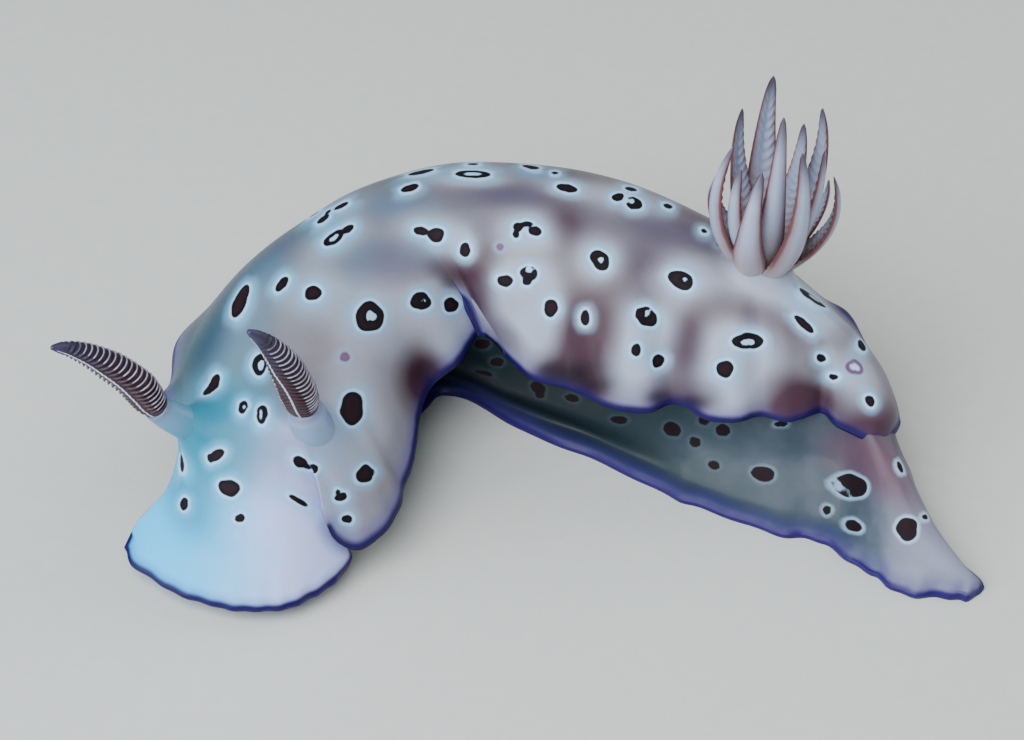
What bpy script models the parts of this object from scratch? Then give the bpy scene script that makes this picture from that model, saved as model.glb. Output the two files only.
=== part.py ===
"""A sea slug with a spotted mantle, life size, crawling in a bend to its left.

The tables below are in millimetres. +Z is up and the sole of the foot lies flat on z = 0.
The point of the tables at SOLE_POINT, on the sole under the back, becomes the origin.
The body bends, so its soft forms are lofted through rows of guide points, from the head,
which faces -Y, round the bend and back to the tail, which points to +X and -Y.
A row names the left mantle edge, the top of the back, the right mantle edge and the
left and right edges of the foot under them.
"""

import math

import bmesh
import bpy
from mathutils import Vector
from mathutils.geometry import tessellate_polygon

MM = 0.001
SOLE_POINT = (2.4, 6.4, 0)
GAP = 0.3
FLANK_GAP = 0.35
ROW_STEP = 1.5

# How full the back is, and how thin the mantle is at its margin.
BACK_FULLNESS = 2.7
MARGIN_THICK = 0.7
SKIRT_SHARE = 0.27
SKIRT_RISE = 0.6
HOOD_THICK = 1.0
FRONT_BOW = 0.9

# The foot's thin border round the flank.
FOOT_EDGE_THICK = 0.55
FOOT_BORDER = 1.5
FOOT_BORDER_RISE = 1.15
FOOT_LIP_HEIGHT = 1.15

# The mantle over the head, from its front margin back to the feelers.
HOOD_ROWS = [
    ((-9.1, -12.4, 1.6), (-15.0, -14.8, 1.4), (-21.8, -10.4, 1.6)),
    ((-8.8, -11.6, 1.6), (-14.8, -13.4, 3.6), (-21.4, -9.2, 2.6)),
    ((-9.2, -10.8, 1.7), (-14.4, -11.3, 7.2), (-20.2, -8.2, 4.6)),
    ((-9.9, -10.2, 2.4), (-13.8, -9.0, 9.6), (-18.6, -7.2, 6.6)),
]
# The body behind the head, from the feelers to the rear end of the mantle.
TRUNK_ROWS = [
    ((-10.0, -9.9, 2.7), (-13.7, -8.6, 9.9), (-18.6, -6.8, 6.8), (-10.6, -9.2, 0), (-17.6, -7.6, 0)),
    ((-8.0, -10.4, 2.6), (-13.5, -7.4, 10.3), (-19.0, -5.6, 7.0), (-9.4, -7.9, 0), (-18.2, -6.0, 0)),
    ((-6.2, -8.6, 3.2), (-13.2, -5.4, 11.0), (-19.5, -3.1, 7.0), (-8.2, -5.8, 0), (-18.2, -3.4, 0)),
    ((-5.6, -5.0, 4.6), (-12.6, -2.4, 11.8), (-19.1, 0.5, 7.1), (-7.2, -2.8, 0), (-17.6, 0.6, 0)),
    ((-4.4, -0.8, 5.9), (-11.1, 1.5, 12.6), (-17.2, 5.4, 7.1), (-6.2, 1.0, 0), (-15.8, 5.4, 0)),
    ((-3.3, 2.5, 6.8), (-8.3, 5.4, 13.1), (-13.5, 9.5, 7.0), (-4.9, 4.3, 0), (-12.3, 9.3, 0)),
    ((-1.4, 1.4, 7.1), (-6.1, 6.7, 13.4), (-9.4, 12.9, 6.9), (-2.9, 4.4, 0), (-8.8, 12.4, 0)),
    ((1.0, -1.2, 6.6), (-2.2, 7.5, 13.7), (-3.9, 14.7, 6.8), (0.4, 1.7, 0), (-3.6, 14.0, 0)),
    ((4.6, -3.2, 6.3), (2.4, 6.8, 13.7), (3.6, 14.4, 6.8), (4.6, -1.1, 0), (3.4, 13.8, 0)),
    ((8.4, -3.9, 6.2), (6.8, 5.2, 13.6), (9.4, 12.2, 6.9), (8.6, -3.8, 0), (9.0, 11.6, 0)),
    ((11.0, -3.5, 6.2), (11.6, 2.8, 13.0), (13.4, 8.8, 7.3), (11.0, -5.5, 0), (13.0, 8.4, 0)),
    ((14.4, -4.8, 6.0), (14.6, 1.0, 12.5), (17.4, 5.1, 8.2), (14.6, -7.3, 0), (17.4, 4.4, 0)),
    ((17.0, -4.3, 6.0), (17.4, -0.9, 11.2), (19.6, 2.0, 7.8), (17.0, -8.0, 0), (20.4, 0.8, 0)),
    ((19.0, -4.8, 5.7), (19.6, -2.6, 9.2), (21.3, -0.9, 6.9), (18.5, -9.1, 0), (22.2, -2.0, 0)),
    ((20.6, -5.8, 5.3), (21.5, -4.4, 6.9), (22.0, -2.8, 6.0), (19.7, -10.2, 0), (23.1, -4.0, 0)),
]
# Which rows each length runs between. A seam lies at each shared row.
LENGTHS = {"neck": (0, 5), "back": (5, 10), "rump": (10, 14)}
# In the bend the back's left edge is folded up over the neck's.
PLEAT_LIFT = 1.3
PLEAT_REACH = 4.5
# The tail behind the mantle: left foot edge, keel, right foot edge.
TAIL_ROWS = [
    ((20.0, -10.6, 0), (21.6, -4.9, 5.5), (23.4, -4.4, 0)),
    ((21.0, -11.8, 0), (22.2, -7.3, 4.1), (23.8, -6.4, 0)),
    ((22.6, -12.6, 0), (23.3, -9.8, 2.6), (24.6, -8.6, 0)),
    ((24.4, -12.9, 0), (24.8, -11.6, 1.4), (25.6, -10.5, 0)),
    ((25.9, -12.7, 0), (26.1, -12.2, 0.8), (26.5, -11.7, 0)),
]
# The front lip of the foot, under the head: left and right edge.
LIP_ROWS = [
    ((-13.2, -11.9, 0), (-15.4, -11.9, 0)),
    ((-11.6, -11.3, 0), (-16.8, -11.1, 0)),
    ((-10.6, -10.1, 0), (-17.6, -9.1, 0)),
    ((-10.4, -9.55, 0), (-17.5, -7.95, 0)),
]
# The head under the hood, from the neck to the lips: middle, half width, half height.
HEAD_ROWS = [
    ((-13.95, -9.35, 4.3), 2.9, 2.3),
    ((-14.15, -10.3, 3.8), 2.8, 1.9),
    ((-14.35, -11.2, 3.1), 2.4, 1.4),
    ((-14.5, -11.9, 2.5), 1.7, 0.9),
    ((-14.6, -12.4, 2.2), 1.0, 0.5),
]

# Feelers on the head. The left one is the animal's left.
FEELERS = {
    "right": {"foot": (-16.9, -7.8, 8.1), "tip": (-24.3, -11.2, 16.9), "bow": (-0.1, 0.4, 0.7)},
    "left": {"foot": (-10.6, -8.7, 8.1), "tip": (-13.7, -12.2, 18.9), "bow": (0.5, 0.3, 0.3)},
}
STALK_RADII = [(0.0, 0.88), (0.3, 0.86), (0.7, 0.78), (1.0, 0.72)]
CLUB_RADII = [(0.0, 0.72), (0.10, 0.92), (0.28, 1.0), (0.55, 0.86), (0.80, 0.58), (0.94, 0.36), (1.0, 0.2)]
LAMELLAE = 11
LAMELLA_DEPTH = 0.3
LAMELLA_SHARE = 0.55
STALK_SHARE = 0.27
SHEATH_INNER = 1.2
SHEATH_OUTER = 1.6
SHEATH_HEIGHT = 1.35
SEAT_DEPTH = 0.9

# The gill stands in a cup behind the middle of the back.
GILL_MIDDLE = (14.2, 1.9, 12.5)
GILL_TIPS_MIDDLE = (14.4, 1.1, 12.45)
GILL_LEAN = (0.21, -0.13, 0.97)
GILL_RING = 1.45
CUP_OUTER = 2.35
CUP_INNER = 2.0
CUP_FLOOR = 0.5
CUP_RIM = 1.4
GILL_SEAT_DEPTH = 1.5
# Angle of the tip from +X, how far out it ends, how high it ends.
GILL_PLUMES = [
    (150, 3.4, 5.6),
    (127, 3.0, 10.0),
    (92, 2.2, 12.3),
    (48, 2.7, 9.1),
    (36, 3.5, 10.2),
    (10, 3.9, 5.6),
    (-12, 4.0, 7.0),
    (-35, 3.3, 10.8),
    (-60, 3.1, 11.0),
    (-86, 2.4, 12.6),
    (-112, 2.4, 8.6),
    (-140, 2.8, 8.4),
    (-160, 2.8, 8.8),
]
# A plume is a tapered blade: half its width, and its thickness, along its length.
BLADE_HALF_WIDTH = [(0.0, 0.27), (0.25, 0.40), (0.5, 0.54), (0.72, 0.42), (0.9, 0.24), (1.0, 0.09)]
BLADE_THICKNESS = [(0.0, 0.54), (0.7, 0.52), (0.9, 0.4), (1.0, 0.2)]
# Every second plume stands in an inner ring and is slimmer, so that the leaflets have room.
INNER_RING = 0.86
INNER_WIDTH = 0.76
OUTER_SWELL = 1.5
INNER_SWELL = 0.2
LEAFLET_PAIRS = 6
LEAFLET_FIRST = 0.3
LEAFLET_LAST = 0.9
LEAFLET_CLEAR = 2.7
LEAFLET_ROOT = 0.25
LEAFLET_END = 0.1
LEAFLET_REACH = 0.3

ORAL_FEELERS = {
    "left": ((-12.4, -11.7, 2.0), (-11.3, -12.3, 1.55)),
    "right": ((-16.6, -11.6, 2.0), (-17.8, -12.0, 1.55)),
}


def smooth_rows(rows, step, first=0, last=None):
    """Points through the rows on a smooth curve, about one step apart along the second column."""
    columns = [[Vector(row[column]) for row in rows] for column in range(len(rows[0]))]
    last = len(rows) - 1 if last is None else last
    result = []
    for index in range(first, last):
        span = (columns[1][index + 1] - columns[1][index]).length
        parts = max(1, round(span / step))
        for part in range(parts):
            result.append([through(column, index, part / parts) for column in columns])
    result.append([column[last] for column in columns])
    return result


def trunk_length(first, last):
    """The rows of one length of the body, with half the gap taken off at each seam."""
    stations = smooth_rows(TRUNK_ROWS, ROW_STEP, first, last)
    for end, way in ((0, 1), (-1, -1)):
        across = flat(stations[end][2] - stations[end][0])
        along = Vector((-across.y, across.x, 0)).normalized()
        if along.dot(flat(stations[1][1] - stations[0][1])) < 0:
            along.negate()
        stations[end] = [point + along * (way * GAP / 2) for point in stations[end]]
    return stations


def lift_pleat(stations):
    start = stations[0][0].copy()
    for station in stations:
        away = (station[0] - start).length / PLEAT_REACH
        if away < 1:
            station[0] = raised(station[0], PLEAT_LIFT * (1 - away) ** 2)


def through(points, index, share):
    """A point between two guide points, on the Catmull-Rom curve through all of them."""
    one = points[index]
    two = points[index + 1]
    before = points[index - 1] if index > 0 else one + (one - two)
    after = points[index + 2] if index + 2 < len(points) else two + (two - one)
    square = share * share
    cube = square * share
    return (
        one * 2
        + (two - before) * share
        + (before * 2 - one * 5 + two * 4 - after) * square
        + (one * 3 - before - two * 3 + after) * cube
    ) * 0.5


def flat(vector):
    return Vector((vector.x, vector.y, 0))


def raised(vector, height):
    return vector + Vector((0, 0, height))


def new_object(name, mesh):
    obj = bpy.data.objects.new(name, mesh)
    parts.objects.link(obj)
    return obj


def mesh_of(shape, name):
    bmesh.ops.recalc_face_normals(shape, faces=shape.faces)
    for vertex in shape.verts:
        vertex.co = (vertex.co - Vector(SOLE_POINT)) * MM
    mesh = bpy.data.meshes.new(name)
    shape.to_mesh(mesh)
    shape.free()
    return mesh


def loft(name, rings, sheet=False):
    """A closed solid through rings of points. Like end rings are closed with like triangles.

    A sheet's rings run out over its top and back under it, so its ends are closed with strips.
    """
    shape = bmesh.new()
    loops = [[shape.verts.new(point) for point in ring] for ring in rings]
    count = len(loops[0])
    for near, far in zip(loops, loops[1:]):
        for index in range(count):
            following = (index + 1) % count
            shape.faces.new((near[index], near[following], far[following], far[index]))
    for ring, closing in ((rings[0], loops[0]), (rings[-1], loops[-1])):
        if sheet:
            for index in range(count // 2 - 1):
                under = count - 1 - index
                shape.faces.new([closing[index], closing[index + 1], closing[under - 1], closing[under]])
        else:
            for corners in tessellate_polygon([ring]):
                shape.faces.new([closing[corner] for corner in corners])
    return new_object(name, mesh_of(shape, name))


OUTWARD_SHARES = [0.0, 0.2, 0.38, 0.55, 0.7, 0.83, 0.93, 1.0]


def over_back(left, top, right, bow=0.0):
    """Points over the back from the left edge to the right edge."""
    line = []
    for edge, shares in ((left, OUTWARD_SHARES[::-1]), (right, OUTWARD_SHARES[1:])):
        across = flat(edge - top)
        forward = Vector((across.y, -across.x, 0)).normalized()
        forward *= -1 if forward.y > 0 else 1
        for share in shares:
            point = top + across * share
            point.z = top.z - (top.z - edge.z) * share**BACK_FULLNESS
            line.append(point + forward * bow * math.sin(math.pi * share))
    return line


def skirt_roots(left, top, right):
    """Where the flank meets the mantle's underside, left and right."""
    roots = []
    for edge in (left, right):
        root = edge + flat(top - edge) * SKIRT_SHARE
        root.z = edge.z + SKIRT_RISE
        roots.append(root)
    return roots


def mantle_ring(left, top, right):
    ring = over_back(left, top, right)
    root_left, root_right = skirt_roots(left, top, right)
    low_left = raised(left, -MARGIN_THICK)
    low_right = raised(right, -MARGIN_THICK)
    middle = (root_left + root_right) / 2
    ring += [low_right, low_right.lerp(root_right, 0.5), root_right, middle, root_left]
    ring += [low_left.lerp(root_left, 0.5), low_left]
    return ring


def foot_ring(left, top, right, foot_left, foot_right):
    root_left, root_right = (raised(root, -FLANK_GAP) for root in skirt_roots(left, top, right))
    across = (foot_right - foot_left).normalized()
    border_left = raised(foot_left + across * FOOT_BORDER, FOOT_BORDER_RISE)
    border_right = raised(foot_right - across * FOOT_BORDER, FOOT_BORDER_RISE)
    wall_left = border_left.lerp(root_left, 0.8)
    wall_left.z = root_left.z * 0.5
    wall_right = border_right.lerp(root_right, 0.8)
    wall_right.z = root_right.z * 0.5
    middle = (root_left + root_right) / 2
    sole = (foot_left + foot_right) / 2
    return [
        root_left,
        middle,
        root_right,
        wall_right,
        border_right,
        raised(foot_right, FOOT_EDGE_THICK),
        foot_right,
        sole,
        foot_left,
        raised(foot_left, FOOT_EDGE_THICK),
        border_left,
        wall_left,
    ]


def tail_ring(foot_left, keel, foot_right):
    across = foot_right - foot_left
    edge = min(FOOT_EDGE_THICK, keel.z * 0.6)
    left_low = foot_left + across * 0.22
    right_low = foot_right - across * 0.22
    return [
        foot_left,
        raised(foot_left, edge),
        raised(left_low, max(edge, keel.z * 0.45)),
        keel.lerp(raised(left_low, keel.z), 0.4) - Vector((0, 0, keel.z * 0.08)),
        keel,
        keel.lerp(raised(right_low, keel.z), 0.4) - Vector((0, 0, keel.z * 0.08)),
        raised(right_low, max(edge, keel.z * 0.45)),
        raised(foot_right, edge),
        foot_right,
        (foot_left + foot_right) / 2,
    ]


def lip_ring(left, right):
    """The front lip of the foot: rounded above, flat below, with the groove that splits it."""
    across = right - left
    lower = FOOT_LIP_HEIGHT * 0.38
    groove = FOOT_LIP_HEIGHT * 0.5
    upper = FOOT_LIP_HEIGHT * 0.62
    return [
        left,
        raised(left, lower),
        raised(left + across.normalized() * 0.35, groove),
        raised(left, upper),
        raised(left + across * 0.1, FOOT_LIP_HEIGHT),
        raised(left + across * 0.5, FOOT_LIP_HEIGHT),
        raised(right - across * 0.1, FOOT_LIP_HEIGHT),
        raised(right, upper),
        raised(right - across.normalized() * 0.35, groove),
        raised(right, lower),
        right,
        (left + right) / 2,
    ]


def tube(name, path, radii, sides, thickness=None, way=Vector((1, 0, 0))):
    """A solid round a path of points, with one radius for each point, or flattened to a blade."""
    return loft(name, tube_rings(path, radii, sides, thickness, way))


def tube_rings(path, radii, sides, thickness, way):
    rings = []
    for index, (point, radius) in enumerate(zip(path, radii)):
        before = path[max(0, index - 1)]
        after = path[min(len(path) - 1, index + 1)]
        along = (after - before).normalized()
        side = (way - along * way.dot(along)).normalized()
        other = along.cross(side)
        thick = thickness[index] / 2 if thickness else radius
        ring = []
        for step in range(sides):
            angle = 2 * math.pi * step / sides
            ring.append(point + side * math.cos(angle) * radius + other * math.sin(angle) * thick)
        rings.append(ring)
    return rings


def bent(start, end, bow, share):
    """A point on the bowed line from start to end."""
    return start.lerp(end, share) + bow * (4 * share * (1 - share))


def cubic(start, first, second, end, share):
    """A point on the cubic curve from start to end."""
    rest = 1 - share
    ends = start * rest**3 + end * share**3
    return ends + first * (3 * rest * rest * share) + second * (3 * rest * share * share)


def radius_at(table, share):
    for (low, first), (high, second) in zip(table, table[1:]):
        if share <= high:
            return first + (second - first) * (share - low) / (high - low)
    return table[-1][1]


def cylinder(name, bottom, axis, radius, height, sides=24):
    path = [bottom, bottom + axis * height]
    return tube(name, path, [radius, radius], sides)


def cut(obj, cutter):
    """Takes the cutter out of the solid and puts the cutter with the hidden ones."""
    if cutter.name in parts.objects:
        parts.objects.unlink(cutter)
        cutters.objects.link(cutter)
    cutter.hide_render = True
    cutter.display_type = "WIRE"
    modifier = obj.modifiers.new("seat", "BOOLEAN")
    modifier.operation = "DIFFERENCE"
    modifier.object = cutter


def hood():
    outer = smooth_rows(HOOD_ROWS, ROW_STEP)
    rings = []
    for index, (left, top, right) in enumerate(outer):
        bow = FRONT_BOW * (1 - index / (len(outer) - 1))
        upper = over_back(left, top, right, bow)
        thick = min(HOOD_THICK, 0.55 + 0.25 * index)
        lower = [raised(point, -thick) for point in upper]
        rings.append(upper + lower[::-1])
    return loft("mantle_hood", rings, sheet=True)


def feeler(side):
    """One feeler: stalk, club and the sheath round its root."""
    sizes = FEELERS[side]
    root = Vector(sizes["foot"])
    tip = Vector(sizes["tip"])
    bow = Vector(sizes["bow"])
    axis = (bent(root, tip, bow, 0.1) - root).normalized()
    path = [bent(root, tip, bow, STALK_SHARE * share) for share in (0, 0.34, 0.67, 1.0)]
    radii = [radius_at(STALK_RADII, share) for share in (0, 0.34, 0.67, 1.0)]
    tube("rhinophore_stalk_" + side, path, radii, 14)
    start = STALK_SHARE + GAP / (tip - root).length
    shares = [0.0]
    grooves = [0.0]
    for index in range(LAMELLAE):
        low = 0.03 + 0.9 * index / LAMELLAE
        high = low + 0.9 / LAMELLAE * LAMELLA_SHARE
        shares += [low, (low + high) / 2, high]
        grooves += [1.0, 0.0, 1.0]
    shares += [0.95, 1.0]
    grooves += [0.6, 0.0]
    path = [bent(root, tip, bow, start + (1 - start) * share) for share in shares]
    radii = []
    for share, groove in zip(shares, grooves):
        full = radius_at(CLUB_RADII, share)
        radii.append(full - LAMELLA_DEPTH * groove * min(1, full))
    tube("rhinophore_club_" + side, path, radii, 12)
    sheath = tube("rhinophore_sheath_" + side, [root, root + axis * SHEATH_HEIGHT], [SHEATH_OUTER] * 2, 20)
    bore = cylinder("rhinophore_bore_" + side, root - axis, axis, SHEATH_INNER, SHEATH_HEIGHT + 2, 20)
    cut(sheath, bore)
    seat_radius = SHEATH_OUTER + GAP
    return cylinder("rhinophore_seat_" + side, root - axis * GAP, axis, seat_radius, 4, 24)


def plume(name, curve, outward, width):
    """One gill plume: a tapered blade with a row of leaflets down each edge, fused into one."""
    shares = [step / 7 for step in range(8)]
    path = [cubic(*curve, share) for share in shares]
    radii = [max(0.25 - 0.16 * share, radius_at(BLADE_HALF_WIDTH, share) * width) for share in shares]
    thickness = [radius_at(BLADE_THICKNESS, share) for share in shares]
    sideways = outward.cross(Vector((0, 0, 1))).normalized()
    blade = tube(name, path, radii, 6, thickness, sideways)
    leaflets = bpy.data.collections.new(name + "_leaflets")
    first = max(LEAFLET_FIRST, LEAFLET_CLEAR / (path[-1] - path[0]).length)
    for index in range(LEAFLET_PAIRS):
        share = first + (LEAFLET_LAST - first) * index / (LEAFLET_PAIRS - 1)
        middle = cubic(*curve, share)
        along = (cubic(*curve, min(1, share + 0.05)) - cubic(*curve, share - 0.05)).normalized()
        edge = radius_at(BLADE_HALF_WIDTH, share) * width
        slim = min(1, edge / 0.3)
        for hand in (-1, 1):
            root = middle + sideways * (hand * edge * 0.5)
            end = middle + sideways * (hand * (edge + LEAFLET_REACH * width * slim)) + along * 0.35
            sizes = [LEAFLET_ROOT * slim, LEAFLET_END]
            leaf = tube(f"{name}_leaflet_{index}_{hand}", [root, end], sizes, 4, way=along)
            parts.objects.unlink(leaf)
            leaflets.objects.link(leaf)
    join(blade, leaflets)
    return blade


def join(obj, pieces):
    """Fuses a collection of closed pieces to a solid in one Boolean and keeps one surface."""
    bpy.context.scene.collection.children.link(pieces)
    modifier = obj.modifiers.new("fuse", "BOOLEAN")
    modifier.operation = "UNION"
    modifier.operand_type = "COLLECTION"
    modifier.collection = pieces
    modifier.solver = "EXACT"
    bpy.context.view_layer.update()
    graph = bpy.context.evaluated_depsgraph_get()
    fused = bpy.data.meshes.new_from_object(obj.evaluated_get(graph))
    obj.modifiers.clear()
    obj.data = fused
    for piece in list(pieces.objects):
        bpy.data.objects.remove(piece)
    bpy.data.collections.remove(pieces)


def gill():
    """The cup, its plumes and the anal papilla between the rear plumes."""
    middle = Vector(GILL_MIDDLE)
    axis = Vector(GILL_LEAN).normalized()
    across = Vector((1, 0, 0))
    across = (across - axis * across.dot(axis)).normalized()
    beyond = axis.cross(across)
    floor = middle - axis * (GILL_SEAT_DEPTH - GAP)
    cup = cylinder("gill_cup", floor, axis, CUP_OUTER, CUP_RIM, 32)
    hollow = cylinder("gill_cup_hollow", floor + axis * CUP_FLOOR, axis, CUP_INNER, CUP_RIM, 32)
    cut(cup, hollow)
    count = len(GILL_PLUMES)
    for index, (angle, out, height) in enumerate(GILL_PLUMES):
        base_angle = math.radians(150 - index * 360 / count)
        way = across * math.cos(base_angle) + beyond * math.sin(base_angle)
        outer = index % 2 == 0
        start = floor + axis * (CUP_FLOOR + GAP) + way * (GILL_RING if outer else INNER_RING)
        tip_angle = math.radians(angle)
        outward = Vector((math.cos(tip_angle), math.sin(tip_angle), 0))
        end = Vector(GILL_TIPS_MIDDLE) + outward * out + Vector((0, 0, height))
        rise = start + axis * 2.6
        swell = start.lerp(end, 0.6) + outward * (OUTER_SWELL if outer else INNER_SWELL)
        curve = (start, rise, swell, end)
        width = (1.0 if outer else INNER_WIDTH) * min(1, height / 9)
        plume(f"gill_plume_{index + 1:02d}", curve, outward, width)
    papilla_path = [floor + axis * (CUP_FLOOR + GAP), floor + axis * 2.4]
    tube("anal_papilla", papilla_path, [0.32, 0.26], 12)
    seat = middle - axis * GILL_SEAT_DEPTH
    return cylinder("gill_seat", seat, axis, CUP_OUTER + GAP, 6, 36)


def head():
    rings = []
    for middle, half_width, half_height in HEAD_ROWS:
        centre = Vector(middle)
        ring = []
        for step in range(18):
            angle = 2 * math.pi * step / 18
            side = Vector((0.97, -0.22, 0)) * math.cos(angle) * half_width
            ring.append(centre + side + Vector((0, 0, math.sin(angle) * half_height)))
        rings.append(ring)
    return loft("head", rings)


COLOURS = {
    "mantle": (0.78, 0.82, 0.88),
    "foot": (0.80, 0.80, 0.90),
    "head": (0.82, 0.86, 0.92),
    "rhinophore": (0.32, 0.10, 0.20),
    "gill": (0.86, 0.72, 0.68),
}


def paint():
    for obj in parts.objects:
        word = next((key for key in COLOURS if obj.name.startswith(key)), "head")
        if obj.name.startswith("rhinophore_s"):
            word = "head"
        material = bpy.data.materials.new(obj.name + "_skin")
        material.use_nodes = True
        shader = material.node_tree.nodes["Principled BSDF"]
        shader.inputs["Base Color"].default_value = (*COLOURS[word], 1)
        shader.inputs["Roughness"].default_value = 0.35
        obj.data.materials.append(material)


for old in list(bpy.data.objects):
    bpy.data.objects.remove(old)
parts = bpy.data.collections.new("spotted_sea_slug")
bpy.context.scene.collection.children.link(parts)
cutters = bpy.data.collections.new("cutters")
bpy.context.scene.collection.children.link(cutters)
cutters.hide_render = True

mantle_hood = hood()
lengths = {}
for length, (first, last) in LENGTHS.items():
    stations = trunk_length(first, last)
    if length == "back":
        lift_pleat(stations)
    lengths[length] = loft("mantle_" + length, [mantle_ring(*station[:3]) for station in stations])
    loft("foot_" + length, [foot_ring(*station) for station in stations])
loft("foot_tail", [tail_ring(*station) for station in smooth_rows(TAIL_ROWS, ROW_STEP)])
loft("foot_front_lip", [lip_ring(*station) for station in smooth_rows(LIP_ROWS, ROW_STEP)])
head()
for side, (root, tip) in ORAL_FEELERS.items():
    start = Vector(root)
    end = Vector(tip)
    path = [start.lerp(end, share) for share in (0, 0.4, 0.8, 1.0)]
    tube("oral_tentacle_" + side, path, [0.5, 0.44, 0.36, 0.25], 12)
for side in FEELERS:
    seat = feeler(side)
    cut(lengths["neck"], seat)
    cut(mantle_hood, seat)
gill_seat = gill()
cut(lengths["rump"], gill_seat)
cut(lengths["back"], gill_seat)
paint()
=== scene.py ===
"""A Hypselodoris tryoni sea slug as a life-size still model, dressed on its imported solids."""

import math
import random
from collections import namedtuple

import bmesh
import bpy
import numpy as np
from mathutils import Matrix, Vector
from mathutils.bvhtree import BVHTree
from mathutils.kdtree import KDTree


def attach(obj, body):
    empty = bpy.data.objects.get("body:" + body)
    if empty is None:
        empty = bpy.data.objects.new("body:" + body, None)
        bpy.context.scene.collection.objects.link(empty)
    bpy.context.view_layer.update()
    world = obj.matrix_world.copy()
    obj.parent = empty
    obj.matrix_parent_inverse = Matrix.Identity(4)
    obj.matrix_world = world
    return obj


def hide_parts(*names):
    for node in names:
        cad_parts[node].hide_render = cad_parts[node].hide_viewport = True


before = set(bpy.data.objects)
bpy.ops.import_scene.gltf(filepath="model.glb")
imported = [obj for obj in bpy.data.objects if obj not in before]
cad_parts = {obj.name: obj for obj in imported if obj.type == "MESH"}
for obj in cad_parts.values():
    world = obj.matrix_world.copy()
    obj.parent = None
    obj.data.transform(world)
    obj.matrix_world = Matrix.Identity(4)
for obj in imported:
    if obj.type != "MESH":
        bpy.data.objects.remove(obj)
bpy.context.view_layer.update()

# The table it stands on: a pale matt floor that curves up behind, soft studio light from
# large lamps, and the camera that looks down on the animal from its left side.

MM = 0.001
LENS = 100.0
SENSOR = 36.0
FRAME_WIDE = 1024
FRAME_HIGH = 740
CAMERA_ELEVATION = math.radians(40)
CAMERA_FAR = 165.0
CAMERA_AIM = Vector((-2.4, -6.4, 6.0))

backward = Vector((0, -math.cos(CAMERA_ELEVATION), math.sin(CAMERA_ELEVATION)))
camera_place = CAMERA_AIM + backward * CAMERA_FAR
camera = bpy.data.objects.new("camera", bpy.data.cameras.new("camera"))
bpy.context.scene.collection.objects.link(camera)
camera.data.lens = LENS
camera.data.sensor_width = SENSOR
camera.data.clip_start = 0.005
camera.location = camera_place * MM
camera.rotation_euler = backward.to_track_quat("Z", "Y").to_euler()
bpy.context.scene.camera = camera


def lamp(name, place, size, power, colour):
    """A square soft lamp that faces the animal; place is in millimetres."""
    light = bpy.data.lights.new(name, "AREA")
    light.size = size * MM
    light.energy = power
    light.color = colour
    obj = bpy.data.objects.new(name, light)
    obj.location = Vector(place) * MM
    obj.rotation_euler = (Vector(place) - CAMERA_AIM).to_track_quat("Z", "Y").to_euler()
    bpy.context.scene.collection.objects.link(obj)


lamp("lamp_front", (-90, -170, 230), 260, 1.5, (0.95, 0.97, 1.0))
lamp("lamp_left", (-230, -110, 110), 200, 0.5, (0.84, 0.95, 1.0))
lamp("lamp_right", (230, 90, 190), 220, 0.4, (1.0, 0.95, 0.9))
world = bpy.data.worlds.new("studio")
bpy.context.scene.world = world
world.use_nodes = True
world.node_tree.nodes["Background"].inputs["Color"].default_value = (0.8, 0.86, 0.9, 1)
world.node_tree.nodes["Background"].inputs["Strength"].default_value = 0.27


class Value:
    """One number or colour of a finish. Python's operators on it add Math nodes."""

    def __init__(self, finish, socket):
        self.finish = finish
        self.socket = socket

    def worked(self, operation, *others):
        inputs = {place: value for place, value in enumerate((self,) + others)}
        return self.finish.node("ShaderNodeMath", {"operation": operation}, inputs)

    def __add__(self, other):
        return self.worked("ADD", other)

    def __sub__(self, other):
        return self.worked("SUBTRACT", other)

    def __rsub__(self, other):
        inputs = {0: other, 1: self}
        return self.finish.node("ShaderNodeMath", {"operation": "SUBTRACT"}, inputs)

    def __mul__(self, other):
        return self.worked("MULTIPLY", other)

    __radd__ = __add__
    __rmul__ = __mul__

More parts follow.
